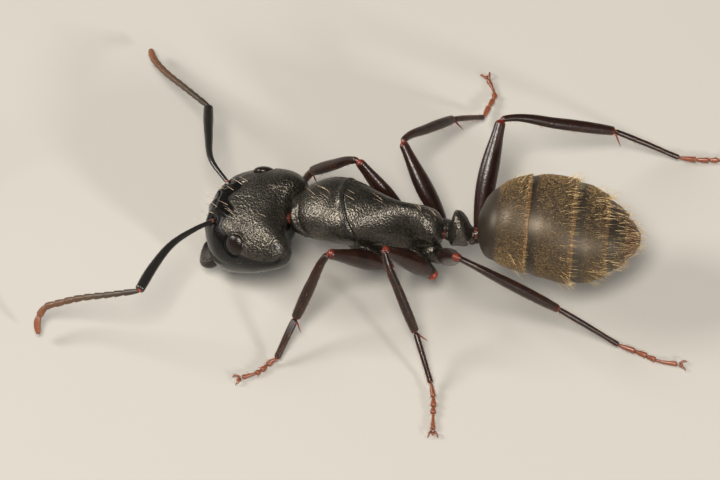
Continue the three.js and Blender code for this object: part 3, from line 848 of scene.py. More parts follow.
# --- Neck, petiole and joint skin --------------------------------------------------------------------------
# The petiole is one small upright scale on a short stalk. Soft red-orange skin shows where the head, petiole,
# gaster and legs are hinged; it is made of small wrinkled collars.
PETIOLE = np.array([
    [1.17, 0, 0.14, 1.86, 1.72, 1.57],
    [1.27, 0, 0.18, 1.93, 1.74, 1.52],
    [1.31, 0, 0.29, 2.2, 1.84, 1.49],
    [1.36, 0, 0.35, 2.45, 2.0, 1.47],
    [1.43, 0, 0.36, 2.54, 2.06, 1.46],
    [1.5, 0, 0.36, 2.53, 2.04, 1.47],
    [1.58, 0, 0.35, 2.44, 1.97, 1.48],
    [1.67, 0, 0.32, 2.27, 1.86, 1.5],
    [1.77, 0, 0.22, 2.0, 1.8, 1.54],
    [1.88, 0, 0.17, 1.94, 1.82, 1.64],
])
PETIOLE_ENDS = [1.18] * 5, [1.87] * 5
PETIOLE_GROOVE = [(1.34, 120), (1.6, 118), (1.8, 110)]
petiole_grid, _ = plate_grid(petiole_place, *PETIOLE_ENDS, 110, 130, (0.03, 0.03))
for mirror in SIDES.values():
    petiole_grid = carve(petiole_grid, body_line(petiole_place, PETIOLE_GROOVE, mirror), 0.04, -0.03)
petiole_skin = closed_skin(petiole_grid)
make_piece("petiole_scale", petiole_skin, netted_black, "black_shell", "petiole",
           polish=np.full(len(petiole_skin["points"]), TRUNK_POLISH))

JOINT_REDS = (0.022, 0.003, 0.002, 1), (0.12, 0.016, 0.006, 1)
skin_paint = Paint("joint_skin")
wrinkles = skin_paint.noise(16000.0, 4.0, 0.65)
joint_look = skin_paint.finish(
    Base_Color=skin_paint.blend(skin_paint.between(wrinkles, 0.35, 0.65), *JOINT_REDS),
    Roughness=0.38, Coat_Weight=0.3, Coat_Roughness=0.2,
    Normal=skin_paint.bump(wrinkles, 8e-6))


def collar(start, end, radius):
    """A short wrinkled collar between two places."""
    def folds(share, turns):
        return 1 + 0.07 * np.sin(share * 26) + 0.04 * np.sin(turns * 7 + share * 9)
    return tube([start, end], [radius * 0.9, radius, radius * 0.9], None, (0.2, 0, 1), 26, 28, relief=folds)


nape = from_head((0.02, 0.93, -0.02))
BODY_JOINTS = [(nape, (0, -2.3, 2.0), 0.15), ((0, 1.0, 1.72), (0, 1.24, 1.69), 0.12),
               ((0, 1.8, 1.77), (0, 2.02, 1.92), 0.13)]
make_piece("joint_collars", joined([collar(*joint) for joint in BODY_JOINTS]), joint_look, "joint_skin")

# --- Gaster ------------------------------------------------------------------------------------------------
# Five overlapping rings of dark shell. Each one's front slides under the ring before it, and its thin rear
# edge is clear and golden. The upper plate of a ring overlaps the lower one along the flank.
GASTER = np.array([
    [1.92, 0, 0.26, 2.35, 2.12, 1.88],
    [2.06, -0.01, 0.62, 2.72, 2.15, 1.62],
    [2.4, -0.03, 0.94, 3.1, 2.25, 1.42],
    [3.0, -0.06, 1.17, 3.38, 2.3, 1.22],
    [3.55, -0.09, 1.25, 3.38, 2.22, 1.03],
    [4.12, -0.11, 1.27, 3.24, 2.04, 0.86],
    [4.6, -0.13, 1.14, 3.02, 1.95, 0.88],
    [5.0, -0.15, 0.92, 2.75, 1.9, 1.03],
    [5.35, -0.16, 0.64, 2.45, 1.86, 1.24],
    [5.58, -0.17, 0.38, 2.18, 1.83, 1.47],
    [5.72, -0.17, 0.14, 1.96, 1.82, 1.68],
])
RING_EDGES = [1.93, 3.08, 4.16, 4.95, 5.4, 5.71]
RING_NAMES = ["gaster_1", "gaster_2", "gaster_3", "gaster_4", "gaster_tip"]
EDGE_LEAN = math.tan(math.radians(2.5))
RING_TUCK, RING_STEP = 0.16, 0.035
EDGE_ROLL, EDGE_REACH, EDGE_FLARE = 0.03, 0.02, 0.008
COAT_DEPTH = 0.02
FLANK_EDGE, FLANK_STEP = 112.0, 0.022
GASTER_ROWS, GASTER_ROUND = 90, 240


def ring_edge(edge, turns):
    """The rear edge of a ring leans a little and bows back along the flank."""
    place = barrel(GASTER, np.full(turns.shape, edge), turns)
    return edge + (place[..., 2] - 2.0) * EDGE_LEAN


def gaster_ring(number):
    turns = full_turn(GASTER_ROUND)
    first, last = number == 0, number == len(RING_NAMES) - 1
    starts = ring_edge(RING_EDGES[number], turns) - (0 if first else RING_TUCK)
    ends = ring_edge(RING_EDGES[number + 1], turns) if not last else np.full(turns.shape, RING_EDGES[-1])
    share = np.linspace(0, 1, GASTER_ROWS)
    share = share + 0.1 * np.sin(2 * math.pi * share) / (2 * math.pi) if first else share
    y = starts + share[:, None] * (ends - starts)
    grid = barrel(GASTER, y, np.broadcast_to(turns, y.shape), 0.97, COAT_DEPTH)
    lift = np.zeros(y.shape)
    if not first:
        lift -= RING_STEP * (1 - smooth(y - starts, RING_TUCK * 0.6, RING_TUCK + 0.34))
    if not last:
        lift -= EDGE_ROLL * (1 - dome_end(ends - y, EDGE_REACH))
        lift += EDGE_FLARE * smooth(y, ends - 0.2, ends)
    below = down_from_top(turns)
    lift -= FLANK_STEP * smooth(below, FLANK_EDGE - 1.0, FLANK_EDGE + 1.2) * smooth((y - starts) / 0.2, 0, 1)
    return grid + grid_normals(grid) * lift[..., None]


def gaster_look(name, edged):
    paint = Paint(name)
    _, along = paint.map_axes()
    squeezed = paint.node("ShaderNodeMapping", None, {
        "Vector": paint.place(), "Scale": (9000.0, 60000.0, 9000.0)}).outputs[0]
    noise = paint.node("ShaderNodeTexNoise", None, {"Vector": squeezed, "Scale": 1.0, "Detail": 3.0})
    stripes = Value(paint, noise.outputs[0])
    patches = paint.noise(1700.0, 4.0)
    if edged:
        rim = paint.between(along, 0.86, 0.97) * 0.16 + paint.between(along, 0.98, 0.99) * patches * 0.6
        shell = paint.blend(patches, (0.007, 0.006, 0.005, 1), (0.026, 0.02, 0.014, 1))
        colour = paint.blend(rim, shell, (0.24, 0.1, 0.028, 1))
    else:
        colour = paint.blend(patches, (0.018, 0.006, 0.004, 1), (0.06, 0.018, 0.01, 1))
    return paint.finish(
        Base_Color=colour,
        Roughness=0.42 + (patches - 0.5) * 0.14,
        Specular_Tint=(1.0, 0.84, 0.66, 1),
        Normal=paint.bump(stripes + paint.noise(5000.0) * 0.6, 2.2e-6))


edged_shell, tip_shell = gaster_look("gaster_shell", True), gaster_look("gaster_tip_shell", False)
gaster_skins = []
for number, name in enumerate(RING_NAMES):
    span = (number / len(RING_NAMES), (number + 1) / len(RING_NAMES))
    skin = closed_skin(gaster_ring(number))
    gaster_skins.append(skin)
    look = tip_shell if number == len(RING_NAMES) - 1 else edged_shell
    make_piece(f"{name}_ring", skin, look, "gaster_shell", name)

# --- Legs --------------------------------------------------------------------------------------------------
# Six jointed legs: a stout coxa, a small trochanter, a deep femur, a slender tibia with one spur, a long
# first foot joint and four short ones that end in a pair of hooked claws. They darken from red joints.
LEG_LENGTHS = {
    "fore": (2.25, 2.0, 1.02, 0.94),
    "mid": (2.35, 2.34, 1.23, 1.22),
    "hind": (2.88, 3.18, 1.83, 1.47),
}
FOOT_HEIGHT = 0.22
CLAW_HEIGHT = 0.075
# name: pair, hip, trochanter, headings out from straight ahead, rises, and two places along the small joints.
LEGS = {
    "left_fore": ("fore", (0.36, -1.0, 1.86), (0.54, -0.07, 0.97), (31, 46, 63, 34), (45, -60, -35),
                  [(2.89, -2.65, 0.11), (3.13, -2.86, 0.09)]),
    "right_fore": ("fore", (-0.36, -0.85, 1.86), (-0.65, 0.29, 0.92), (24, 29, 20, 19), (52, -49, -68),
                   [(-2.07, -2.75, 0.12), (-2.18, -3.08, 0.09)]),
    "left_mid": ("mid", (0.4, 0.3, 1.55), (0.61, 0.96, 0.89), (33, 133, 115, 97), (56, -59, -30),
                 [(3.5, 1.21, 0.12), (3.87, 1.24, 0.09)]),
    "right_mid": ("mid", (-0.4, 0.45, 1.55), (-0.64, 1.18, 0.91), (51, 123, 134, 90), (36, -33, -38),
                  [(-4.85, 1.84, 0.14), (-5.15, 1.93, 0.1)]),
    "left_hind": ("hind", (0.28, 0.75, 1.7), (0.26, 1.15, 1.09), (106, 185, 176, 167), (56, -42, -38),
                  [(1.84, 5.9, 0.12), (2.0, 6.36, 0.09)]),
    "right_hind": ("hind", (-0.3, 0.95, 1.62), (-0.43, 1.88, 0.93), (99, 160, 179, 172), (36, -28, -31),
                   [(-3.75, 6.93, 0.12), (-3.81, 7.38, 0.09)]),
}
COXA_RADII = [0.2, 0.25, 0.25, 0.2, 0.15]
TROCHANTER_RADII = [0.11, 0.135, 0.13, 0.1]
FEMUR_RADII = {
    "fore": [0.1, 0.19, 0.23, 0.235, 0.215, 0.18, 0.145, 0.125],
    "mid": [0.1, 0.18, 0.225, 0.24, 0.225, 0.185, 0.145, 0.12],
    "hind": [0.1, 0.17, 0.22, 0.245, 0.24, 0.205, 0.155, 0.125],
}
COXA_FLATNESS, FEMUR_FLATNESS, TIBIA_FLATNESS, TOE_FLATNESS = 0.92, 0.82, 0.9, 0.85
TIBIA_RADII = {
    "fore": [0.08, 0.1, 0.118, 0.13, 0.14, 0.142, 0.135, 0.115],
    "mid": [0.075, 0.09, 0.105, 0.115, 0.122, 0.125, 0.12, 0.1],
    "hind": [0.075, 0.09, 0.115, 0.13, 0.14, 0.14, 0.13, 0.105],
}
BASITARSUS_RADII = {
    "fore": [0.075, 0.09, 0.088, 0.082, 0.078, 0.082],
    "mid": [0.062, 0.07, 0.068, 0.064, 0.062, 0.068],
    "hind": [0.062, 0.07, 0.068, 0.064, 0.06, 0.066],
}
SMALL_JOINTS = [0.3, 0.2, 0.14, 0.36]
SMALL_TAPER, LAST_TAPER = [0.04, 0.056, 0.07, 0.076], [0.034, 0.04, 0.052, 0.068]
SPUR_ROOT, SPUR_LENGTH, CLAW_LENGTH = 0.06, 0.34, 0.17
# Places along a claw: share of its length, distance out to its side, and height.
CLAW_BENDS = [(0.45, 0.05, 0.035), (0.9, 0.085, 0.01), (1, 0.095, -0.06)]


def step(start, heading, rise, length, side):
    out, up = math.radians(heading), math.radians(rise)
    return np.asarray(start) + length * np.array((
        side * math.cos(up) * math.sin(out), -math.cos(up) * math.cos(out), math.sin(up)))


def leg_joints(name):
    """Hip, trochanter, knee, tibia's end, first foot joint's end and claws, from lengths and angles."""
    pair, hip, trochanter, headings, rises, _ = LEGS[name]
    side = 1 if name.startswith("left") else -1
    joints = [np.array(hip), np.array(trochanter)]
    for heading, rise, length in zip(headings, rises, LEG_LENGTHS[pair]):
        joints.append(step(joints[-1], heading, rise, length, side))
    joints[-1][2] = FOOT_HEIGHT
    claws = step(joints[-1], headings[3], 0, LEG_LENGTHS[pair][3], side)
    claws[2] = CLAW_HEIGHT
    return [*joints, claws]


rust_paint = Paint("rust_shell")
_, along_foot = rust_paint.map_axes()
rust_mix = rust_paint.blend(rust_paint.noise(5000.0), (0.075, 0.02, 0.01, 1), (0.22, 0.06, 0.026, 1))
rust_share = rust_paint.between(along_foot, 0.05, 0.5)
rust_look = rust_paint.finish(
    Base_Color=rust_paint.blend(rust_share, (0.045, 0.012, 0.006, 1), rust_mix),
    Roughness=0.32 + (rust_paint.noise(8000.0) - 0.5) * 0.15,
    Normal=rust_paint.bump(rust_paint.cells(40000.0, "SMOOTH_F1"), 1.5e-6))


def flattened(radii, share):
    return [radius * share for radius in radii]


leg_skins = {}
leg_collars = []
for leg, (pair, _, _, _, _, foot_places) in LEGS.items():
    hip, trochanter, knee, ankle, heel, claws = leg_joints(leg)
    bend = unit(np.cross(knee - trochanter, ankle - knee))
    fall = unit(ankle - knee)
    climb = unit(knee - trochanter)
    side = 1 if leg.startswith("left") else -1

    coxa = tube([hip, (hip + trochanter) / 2 + (side * 0.03, -0.02, -0.02), trochanter], COXA_RADII,
                flattened(COXA_RADII, COXA_FLATNESS), bend, 60, 48, 0.8, 0.6)
    make_piece(f"{leg}_coxa_cone", coxa, netted_black, "black_shell", f"{leg}_coxa")

    knob_line = [trochanter + climb * share for share in (-0.06, 0.1, 0.2)]
    knob = tube(knob_line, TROCHANTER_RADII, None, bend, 30, 30, spans=(0.95, 0.98))
    bow = unit(np.cross(climb, bend)) * 0.05
    femur = tube([trochanter + climb * 0.14, (trochanter + knee) / 2 + bow, knee], FEMUR_RADII[pair],
                 flattened(FEMUR_RADII[pair], FEMUR_FLATNESS), np.cross(climb, bend), 90, 40, 0.8, 0.9)
    leg_skins[f"{leg}_femur"] = femur
    make_piece(f"{leg}_femur_shaft", joined([femur, knob]), leg_brown, "leg_shell", f"{leg}_femur")

    sag = np.cross(fall, bend) * 0.04
    tibia = tube([knee, knee + fall * 0.16 + sag, (knee + ankle) / 2 + sag, ankle], TIBIA_RADII[pair],
                 flattened(TIBIA_RADII[pair], TIBIA_FLATNESS), np.cross(fall, bend), 90, 32, 1.0, 0.7)
    leg_skins[f"{leg}_tibia"] = tibia
    spur_way = unit(unit(heel - ankle) + unit(trochanter - ankle) * 0.75)
    spur_line = [ankle + spur_way * SPUR_ROOT,
                 ankle + spur_way * (SPUR_ROOT + SPUR_LENGTH * 0.6) + (0, 0, -0.01),
                 ankle + spur_way * (SPUR_ROOT + SPUR_LENGTH)]
    spur = tube(spur_line, [0.024, 0.018, 0.004], None, bend, 20, 10, spans=(0.98, 1.0))
    make_piece(f"{leg}_tibia_shaft", joined([tibia, spur]), leg_brown, "leg_shell", f"{leg}_tibia")

    sole = heel + (0, 0, -0.03)
    first_joint = tube([ankle, (ankle + heel) / 2, sole], BASITARSUS_RADII[pair], None, bend, 50, 20)
    leg_skins[f"{leg}_basitarsus"] = first_joint
    make_piece(f"{leg}_basitarsus_shaft", first_joint, leg_brown, "leg_shell", f"{leg}_basitarsus")

    track = resample([sole, *foot_places, claws], 200)
    marks = np.concatenate(([0.0], np.cumsum(SMALL_JOINTS)))
    parts = []
    for joint in range(4):
        first, last = (int(mark * 199) for mark in marks[joint:joint + 2])
        taper = SMALL_TAPER if joint < 3 else LAST_TAPER
        parts.append(tube(track[max(first - 4, 0):last + 1:max((last - first) // 5, 1)], taper,
                          flattened(taper, TOE_FLATNESS), (0, 0, 1), 24, 20, 1.0, 0.5,
                          (0.4 + 0.15 * joint, 0.55 + 0.15 * joint)))
    toe_way = unit(track[-1] - track[-20])
    toe_side = unit(np.cross(toe_way, (0, 0, 1)))
    for splay in (-1, 1):
        root = track[-1] + toe_side * splay * 0.025
        hook = [root + toe_way * CLAW_LENGTH * share + toe_side * splay * out + (0, 0, height)
                for share, out, height in CLAW_BENDS]
        parts.append(tube([root, *hook], [0.026, 0.022, 0.015, 0.003], None, (0, 0, 1), 22, 12,
                          spans=(0.9, 1.0)))
    pad = [track[-1] + toe_way * 0.02, track[-1] + toe_way * 0.1 - (0, 0, 0.025)]
    parts.append(tube(pad, [0.026, 0.036, 0.03], None, (0, 0, 1), 12, 14, spans=(0.9, 1.0)))
    leg_skins[f"{leg}_toes"] = joined(parts)
    make_piece(f"{leg}_toes", leg_skins[f"{leg}_toes"], rust_look, "rust_shell", f"{leg}_tarsus")

    leg_collars.append(collar(trochanter - climb * 0.09, trochanter + climb * 0.02, 0.122))
    leg_collars.append(collar(knee - fall * 0.02, knee + fall * 0.04, 0.068))
make_piece("leg_joint_skin", joined(leg_collars), joint_look, "joint_skin")

# --- Hair --------------------------------------------------------------------------------------------------
# Stiff pale bristles stand on the head, trunk and ring edges, fine golden down lies flat on the gaster, and
# short spines line the legs. Each hair is a thin bent cone with its root in the shell.
HAIR_PATCH, HAIR_ROOT = 0.003, 0.04
HAIR_INPUTS = {"Roots": "Geometry", "Slenderness": "Float", "Bend": "Float", "Segments": "Int",
               "Look": "Material"}


def hair_tree():
    """Stands one bent cone on each root, and maps it to a small patch at its root's place on the shell."""
    tree = bpy.data.node_groups.new("hairs", "GeometryNodeTree")
    for name, kind in HAIR_INPUTS.items():
        tree.interface.new_socket(name=name, in_out="INPUT", socket_type=f"NodeSocket{kind}")
    tree.interface.new_socket(name="Hairs", in_out="OUTPUT", socket_type="NodeSocketGeometry")

    def add(kind, settings=None, sockets=None):
        return add_node(tree, kind, settings, sockets)

    def named(name, kind="FLOAT_VECTOR"):
        read = add("GeometryNodeInputNamedAttribute", {"data_type": kind}, {"Name": name})
        return read.outputs["Attribute"]

    given = add("NodeGroupInput").outputs
    cone = add("GeometryNodeMeshCone", None, {
        "Vertices": 3, "Side Segments": given["Segments"], "Fill Segments": 1, "Radius Top": 0.0,
        "Radius Bottom": given["Slenderness"], "Depth": 1.0})
    mapped = add("GeometryNodeStoreNamedAttribute", {"data_type": "FLOAT_VECTOR", "domain": "CORNER"}, {
        "Geometry": cone.outputs["Mesh"], "Name": "patch", "Value": cone.outputs["UV Map"]})
    height = add("ShaderNodeSeparateXYZ", None, {0: add("GeometryNodeInputPosition").outputs[0]}).outputs[2]
    square = add("ShaderNodeMath", {"operation": "MULTIPLY"}, {0: height, 1: height}).outputs[0]
    droop = add("ShaderNodeMath", {"operation": "MULTIPLY"}, {0: square, 1: given["Bend"]}).outputs[0]
    offset = add("ShaderNodeCombineXYZ", None, {"X": droop}).outputs[0]
    bent = add("GeometryNodeSetPosition", None, {"Geometry": mapped.outputs[0], "Offset": offset})
    lying = add("FunctionNodeAlignRotationToVector", {"axis": "Z"}, {"Vector": named("lie")})
    turned = add("FunctionNodeAlignRotationToVector", {"axis": "X", "pivot_axis": "Z"}, {
        "Rotation": lying.outputs[0], "Vector": named("droop")})
    stood = add("GeometryNodeInstanceOnPoints", None, {
        "Points": given["Roots"], "Instance": bent.outputs[0], "Rotation": turned.outputs[0],
        "Scale": named("length", "FLOAT")})
    real = add("GeometryNodeRealizeInstances", None, {"Geometry": stood.outputs[0]})
    shrunk = add("ShaderNodeVectorMath", {"operation": "SCALE"}, {0: named("patch"), "Scale": HAIR_PATCH})
    placed = add("ShaderNodeVectorMath", {"operation": "ADD"}, {0: shrunk.outputs[0], 1: named("root")})
    baked = add("GeometryNodeStoreNamedAttribute", {"data_type": "FLOAT2", "domain": "CORNER"}, {
        "Geometry": real.outputs[0], "Name": "OFBake", "Value": placed.outputs[0]})
    soft = add("GeometryNodeSetShadeSmooth", None, {"Geometry": baked.outputs[0]})
    painted = add("GeometryNodeSetMaterial", None, {"Geometry": soft.outputs[0], "Material": given["Look"]})
    add("NodeGroupOutput", None, {0: painted.outputs[0]})
    return tree


hairs_tree = hair_tree()


def faces_of(skin):
    """Corners, places on the map, middles and cross products of a skin's triangles."""
    quads = skin["quad_map"]
    maps = np.concatenate((quads[:, [0, 1, 2]], quads[:, [0, 2, 3]], skin["tri_map"]))
    a, b, c = (skin["points"][triangles(skin)[:, corner]] for corner in range(3))
    return np.stack((a, b, c), axis=1), maps, (a + b + c) / 3, np.cross(b - a, c - a)


def in_cell(root, cell):
    """Places on a map, moved to a cell of it given by its corner and size."""
    return root * (cell[2], cell[3]) + (cell[0], cell[1])


def scatter(skin, count, chance, dice, cell=(0.0, 0.0, 1.0, 1.0)):
    """Random roots on a skin: place, outward normal and place on its map, by a chance at each face."""
    corners, maps, centres, cross = faces_of(skin)
    weight = np.linalg.norm(cross, axis=1) * chance(centres, unit(cross))
    picked = dice.choice(len(cross), size=count, p=weight / weight.sum())
    first, second = dice.random(count), dice.random(count)
    over = first + second > 1
    first, second = np.where(over, 1 - first, first), np.where(over, 1 - second, second)
    shares = np.stack((1 - first - second, first, second), axis=1)[..., None]
    root = in_cell(np.sum(maps[picked] * shares, axis=1), cell)
    return {"place": np.sum(corners[picked] * shares, axis=1), "normal": unit(cross)[picked], "root": root}


def lean(normal, way, lift, dice, spread):
    """Hair directions that follow a way over the shell, lifted off it by degrees, with a spread."""
    way = np.broadcast_to(np.asarray(way, float), normal.shape)
    flat = unit(way - normal * np.sum(way * normal, axis=1, keepdims=True) + 1e-9)
    flat = unit(flat + dice.normal(0, spread, normal.shape))
    lift = np.radians(np.broadcast_to(lift, (len(normal),)))[:, None]
    return unit(flat * np.cos(lift) + normal * np.sin(lift))


def grow(name, roots, lies, lengths, thickness, bend, look, segments=2):
    """Makes one piece of hair. thickness is a hair's half thickness as a share of its length."""
    mesh = bpy.data.meshes.new(name)
    count = len(lies)
    mesh.vertices.add(count)
    places = roots["place"] - lies * (lengths * HAIR_ROOT)[:, None]
    mesh.vertices.foreach_set("co", in_row(places).astype(np.float32).ravel())
    map_places = np.column_stack((roots["root"], np.zeros(count)))
    for key, values in {"lie": lies, "droop": roots["normal"], "root": map_places}.items():
        vectors = mesh.attributes.new(key, "FLOAT_VECTOR", "POINT")
        vectors.data.foreach_set("vector", values.astype(np.float32).ravel())
    sizes = mesh.attributes.new("length", "FLOAT", "POINT")
    sizes.data.foreach_set("value", (lengths * MM).astype(np.float32))
    seedbed = put(name, mesh)
    growth = seedbed.modifiers.new("hairs", "NODES")
    growth.node_group = hairs_tree
    names = {item.name: item.identifier for item in hairs_tree.interface.items_tree if item.in_out == "INPUT"}
    for key, value in {"Slenderness": thickness, "Bend": bend, "Segments": segments, "Look": look}.items():
        growth[names[key]] = value
    bpy.context.view_layer.update()
    grown = bpy.data.meshes.new_from_object(seedbed.evaluated_get(bpy.context.evaluated_depsgraph_get()))
    bpy.data.objects.remove(seedbed)
    for key in ("lie", "droop", "root", "length", "patch"):
        if key in grown.attributes:
            grown.attributes.remove(grown.attributes[key])
    settle(put(name, grown), "bristle")


def hair_look(name, dark, light, roughness):
    """Hairs of one colour range, which changes from hair to hair."""
    paint = Paint(name)
    shade = paint.between(paint.noise(26000.0, 2.0), 0.32, 0.68)
    colour = paint.blend(shade, dark, light)
    return paint.finish(Base_Color=colour, Roughness=roughness, Specular_IOR_Level=0.25)


down_look = hair_look("golden_down", (0.045, 0.028, 0.013, 1), (0.35, 0.225, 0.098, 1), 0.4)
flat_look = hair_look("dull_down", (0.03, 0.022, 0.016, 1), (0.2, 0.15, 0.1, 1), 0.35)
bristle_look = hair_look("pale_bristle", (0.6, 0.4, 0.26, 1), (0.85, 0.68, 0.5, 1), 0.35)
gold_look = hair_look("gold_bristle", (0.24, 0.15, 0.06, 1), (0.68, 0.51, 0.27, 1), 0.35)
spine_look = hair_look("rust_spine", (0.14, 0.035, 0.012, 1), (0.5, 0.18, 0.06, 1), 0.35)
dice = np.random.default_rng(7)
BACKWARD = (0.0, 1.0, 0.0)

# Down on each ring: count of hairs, and how far behind the ring before it the down starts.
DOWN = [(10500, 0.36), (14500, 0.1), (9500, 0.14), (1200, 0.1)]
for number, (count, bare) in enumerate(DOWN):
    def chance(centres, normals, number=number, bare=bare):
        start = RING_EDGES[number] + bare
        keep = smooth(centres[:, 1], start, start + 0.2) * (centres[:, 1] < RING_EDGES[number + 1] - 0.01)
        return keep * (0.35 + 0.65 * smooth(normals[:, 2], -0.6, 0.2)) + 1e-6
    roots = scatter(gaster_skins[number], count, chance, dice)
    lies = lean(roots["normal"], BACKWARD, 10.0, dice, 0.16)
    grow(f"down_{number + 1}", roots, lies, dice.uniform(0.055, 0.105, count), 0.024, -0.12, down_look)


class Hairs:
    """Roots, directions and lengths of hairs of one kind, gathered from several skins and then grown."""

    def __init__(self):
        self.roots, self.lies, self.lengths = [], [], []

    def add(self, roots, lies, lengths):
        self.roots.append(roots)
        self.lies.append(lies)
        self.lengths.append(np.broadcast_to(lengths, (len(lies),)))

    def grow(self, name, thickness, bend, look, segments=2):
        keys = ("place", "normal", "root")
        roots = {key: np.concatenate([some[key] for some in self.roots]) for key in keys}
        lies, lengths = np.concatenate(self.lies), np.concatenate(self.lengths)
        grow(name, roots, lies, lengths, thickness, bend, look, segments)


# Long hairs at the ring edges and the tip: ring, count, distance before the edge, shortest, longest and lift.
FRINGES = [(0, 260, 0.06, 0.1, 0.18, 12), (0, 90, 0.4, 0.2, 0.36, 45), (1, 520, 0.1, 0.22, 0.33, 12),
           (1, 150, 0.3, 0.25, 0.42, 45), (2, 260, 0.12, 0.2, 0.32, 16), (2, 170, 0.4, 0.25, 0.44, 45),
           (3, 170, 0.36, 0.22, 0.36, 22), (3, 50, 0.3, 0.28, 0.42, 48), (4, 90, 0.3, 0.25, 0.4, 34)]
fringes = Hairs()
for ring, count, reach, short, long, lift in FRINGES:
    def chance(centres, normals, ring=ring, reach=reach):
        edge = RING_EDGES[ring + 1]
        return (centres[:, 1] > edge - reach) * (centres[:, 1] < edge - 0.015) + 1e-7
    roots = scatter(gaster_skins[ring], count, chance, dice, (ring / 5, 0.0, 0.2, 1.0))
    lies = lean(roots["normal"], BACKWARD, lift + dice.normal(0, 5, count), dice, 0.12)
    fringes.add(roots, lies, dice.uniform(short, long, count))
fringes.grow("gaster_bristles", 0.016, -0.1, gold_look, 4)


def rooted(skin, targets, cell):
    """The spots of a skin nearest to some places, with their outward normals and places on its map."""
    _, maps, centres, cross = faces_of(skin)
    close = nearest(centres, targets)
    root = in_cell(maps.mean(axis=1)[close], cell)
    return {"place": centres[close], "normal": unit(cross)[close], "root": root}


# Standing bristles: places out and back on the face and throat, y and degrees down on the trunk and petiole,
# and places along the left mandible. Then the directions in which they stand.
FACE_BRISTLES = [(0.22, -0.15), (0.4, 0.02), (0.27, -0.42), (0.5, 0.12), (0.1, -0.72), (0.4, -0.5),
                 (0.16, -0.93), (0.4, -0.88), (0.6, -0.8), (0.42, 0.85)]
THROAT_BRISTLES = [(0.3, -0.3), (0.34, 0.1), (0.3, 0.45), (0.6, -0.1), (0.7, 0.3)]
TRUNK_BRISTLES = [(-1.86, 3), (-1.54, 5), (-1.62, 12), (-0.95, 6), (-0.3, 5), (0.6, 6), (0.95, 12)]
PETIOLE_BRISTLES = [(1.44, 8), (1.45, 30), (1.47, 52), (1.7, 80)]
BLADE_BRISTLES = [(0.94, -0.95, -0.3), (0.88, -1.15, -0.38), (0.76, -1.34, -0.46), (0.56, -1.45, -0.52),
                  (0.36, -1.5, -0.57)]
FORWARD_UP, FORWARD_DOWN = (0.0, -0.74, 0.66), (0.0, -0.5, -0.85)
bristles = Hairs()
for places, side, length in ((FACE_BRISTLES, 1, 0.36), (THROAT_BRISTLES, -1, 0.22)):
    for mirror in SIDES.values():
        laid = on_face(bare_head, [(mirror * x, y) for x, y in places], side, None)
        roots = rooted(head_skin, from_head(laid), (0.0, 0.0, 0.3, 1.0))
        way = FORWARD_UP if side > 0 else FORWARD_DOWN
        lies = unit(np.array(way) + 0.25 * roots["normal"] + dice.normal(0, 0.1, (len(places), 3)))
        bristles.add(roots, lies, dice.uniform(0.8, 1.1, len(places)) * length)
for side_name, mirror in SIDES.items():
    for spot in TRUNK_BRISTLES:
        target = body_line(trunk_place, [spot], mirror)
        plate = "pronotum" if spot[0] < -1.15 else "mesonotum" if spot[0] < 0.03 else "propodeum"
        roots = rooted(trunk_skins[plate], target, (0.35, 0.0, 0.3, 1.0))
        lies = unit(np.array(FORWARD_UP) + 0.2 * roots["normal"] + dice.normal(0, 0.12, (1, 3)))
        bristles.add(roots, lies, dice.uniform(0.26, 0.42, 1))
    for spot in PETIOLE_BRISTLES:
        roots = rooted(petiole_skin, body_line(petiole_place, [spot], mirror), (0.7, 0.0, 0.1, 1.0))
        lies = unit(roots["normal"] + dice.normal(0, 0.15, (1, 3)))
        bristles.add(roots, lies, dice.uniform(0.14, 0.22, 1))
    roots = rooted(blades[side_name], from_head(on_side(BLADE_BRISTLES, mirror)), (0.85, 0.0, 0.1, 1.0))
    bristles.add(roots, unit(roots["normal"] + np.array((0, -0.3, -0.5))), 0.12)
bristles.grow("standing_bristles", 0.019, -0.08, bristle_look, 4)


def sparse(centres, normals):
    return np.ones(len(centres))


# Short sparse hairs that lie flat on the head and trunk.
flat_hairs = Hairs()
SHORT_HAIRS = [(head_skin, 700, (0.0, 0.0, 0.3, 1.0)),
               (trunk_skins["pronotum"], 350, (0.3, 0.0, 0.15, 1.0)),
               (trunk_skins["mesonotum"], 350, (0.45, 0.0, 0.15, 1.0)),
               (trunk_skins["propodeum"], 300, (0.6, 0.0, 0.15, 1.0)),
               (petiole_skin, 120, (0.75, 0.0, 0.15, 1.0))]
for skin, count, cell in SHORT_HAIRS:
    roots = scatter(skin, count, sparse, dice, cell)
    lies = lean(roots["normal"], BACKWARD, 14.0, dice, 0.25)
    flat_hairs.add(roots, lies, dice.uniform(0.04, 0.075, count))
flat_hairs.grow("flat_hairs", 0.035, -0.1, flat_look)

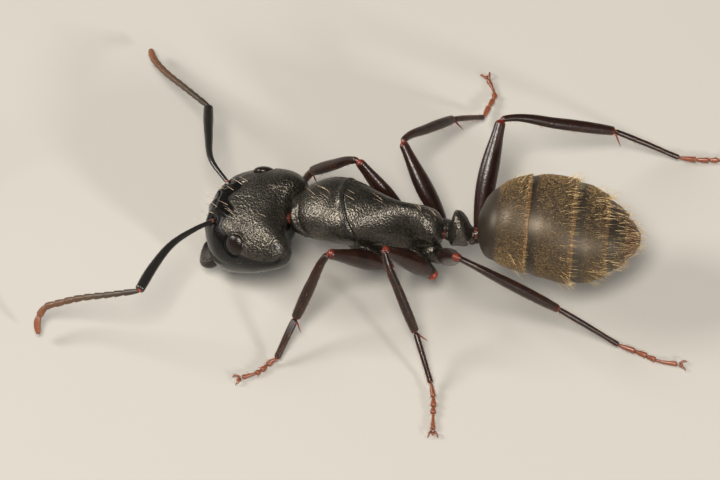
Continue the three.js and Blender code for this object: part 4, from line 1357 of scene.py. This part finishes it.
# Spines and hairs of the legs: part, hairs, length range, lift, and how near the inner edge they grow.
LEG_HAIRS = [("femur", 90, 0.05, 0.08, 22, -1.0), ("tibia", 130, 0.05, 0.09, 22, -1.0),
             ("tibia", 34, 0.09, 0.14, 42, 0.8), ("basitarsus", 90, 0.06, 0.1, 30, -1.0),
             ("basitarsus", 60, 0.08, 0.13, 45, 0.5), ("toes", 130, 0.07, 0.14, 35, -1.0)]
LEG_PARTS = ["femur", "tibia", "basitarsus", "toes"]
spines = Hairs()
for number, leg in enumerate(LEGS):
    _, trochanter, knee, ankle, heel, claws = leg_joints(leg)
    ways = {"femur": unit(knee - trochanter), "tibia": unit(ankle - knee), "basitarsus": unit(heel - ankle),
            "toes": unit(claws - heel)}
    for part, count, short, long, lift, inner in LEG_HAIRS:
        way = ways[part]
        inward = trochanter - (knee + ankle) / 2 if part == "tibia" else np.array((0, 0, -1.0))
        inward = unit(inward - way * np.dot(inward, way))

        def chance(centres, normals, inward=inward, inner=inner):
            return (normals @ inward > inner) + 1e-7
        cell = (number / 6, LEG_PARTS.index(part) / 4, 1 / 6, 1 / 4)
        roots = scatter(leg_skins[f"{leg}_{part}"], count, chance, dice, cell)
        lies = lean(roots["normal"], way, lift, dice, 0.12)
        above = roots["place"][:, 2] + lies[:, 2] * long > 0.004
        roots = {key: values[above] for key, values in roots.items()}
        spines.add(roots, lies[above], dice.uniform(short, long, int(above.sum())))
spines.grow("leg_spines", 0.03, -0.08, spine_look)

# Very short hairs all over the feelers.
fuzz = Hairs()
for number, (part, (skin, places)) in enumerate(feeler_parts.items()):
    count = 1300 if part.endswith("lash") else 260
    roots = scatter(skin, count, sparse, dice, (number / 4, 0.0, 0.25, 1.0))
    line = resample(places, 60)
    ways = unit(np.gradient(line, axis=0))
    lies = lean(roots["normal"], ways[nearest(line, roots["place"])], 24.0, dice, 0.12)
    fuzz.add(roots, lies, dice.uniform(0.03, 0.055, count))
fuzz.grow("feeler_hairs", 0.034, -0.1, flat_look)
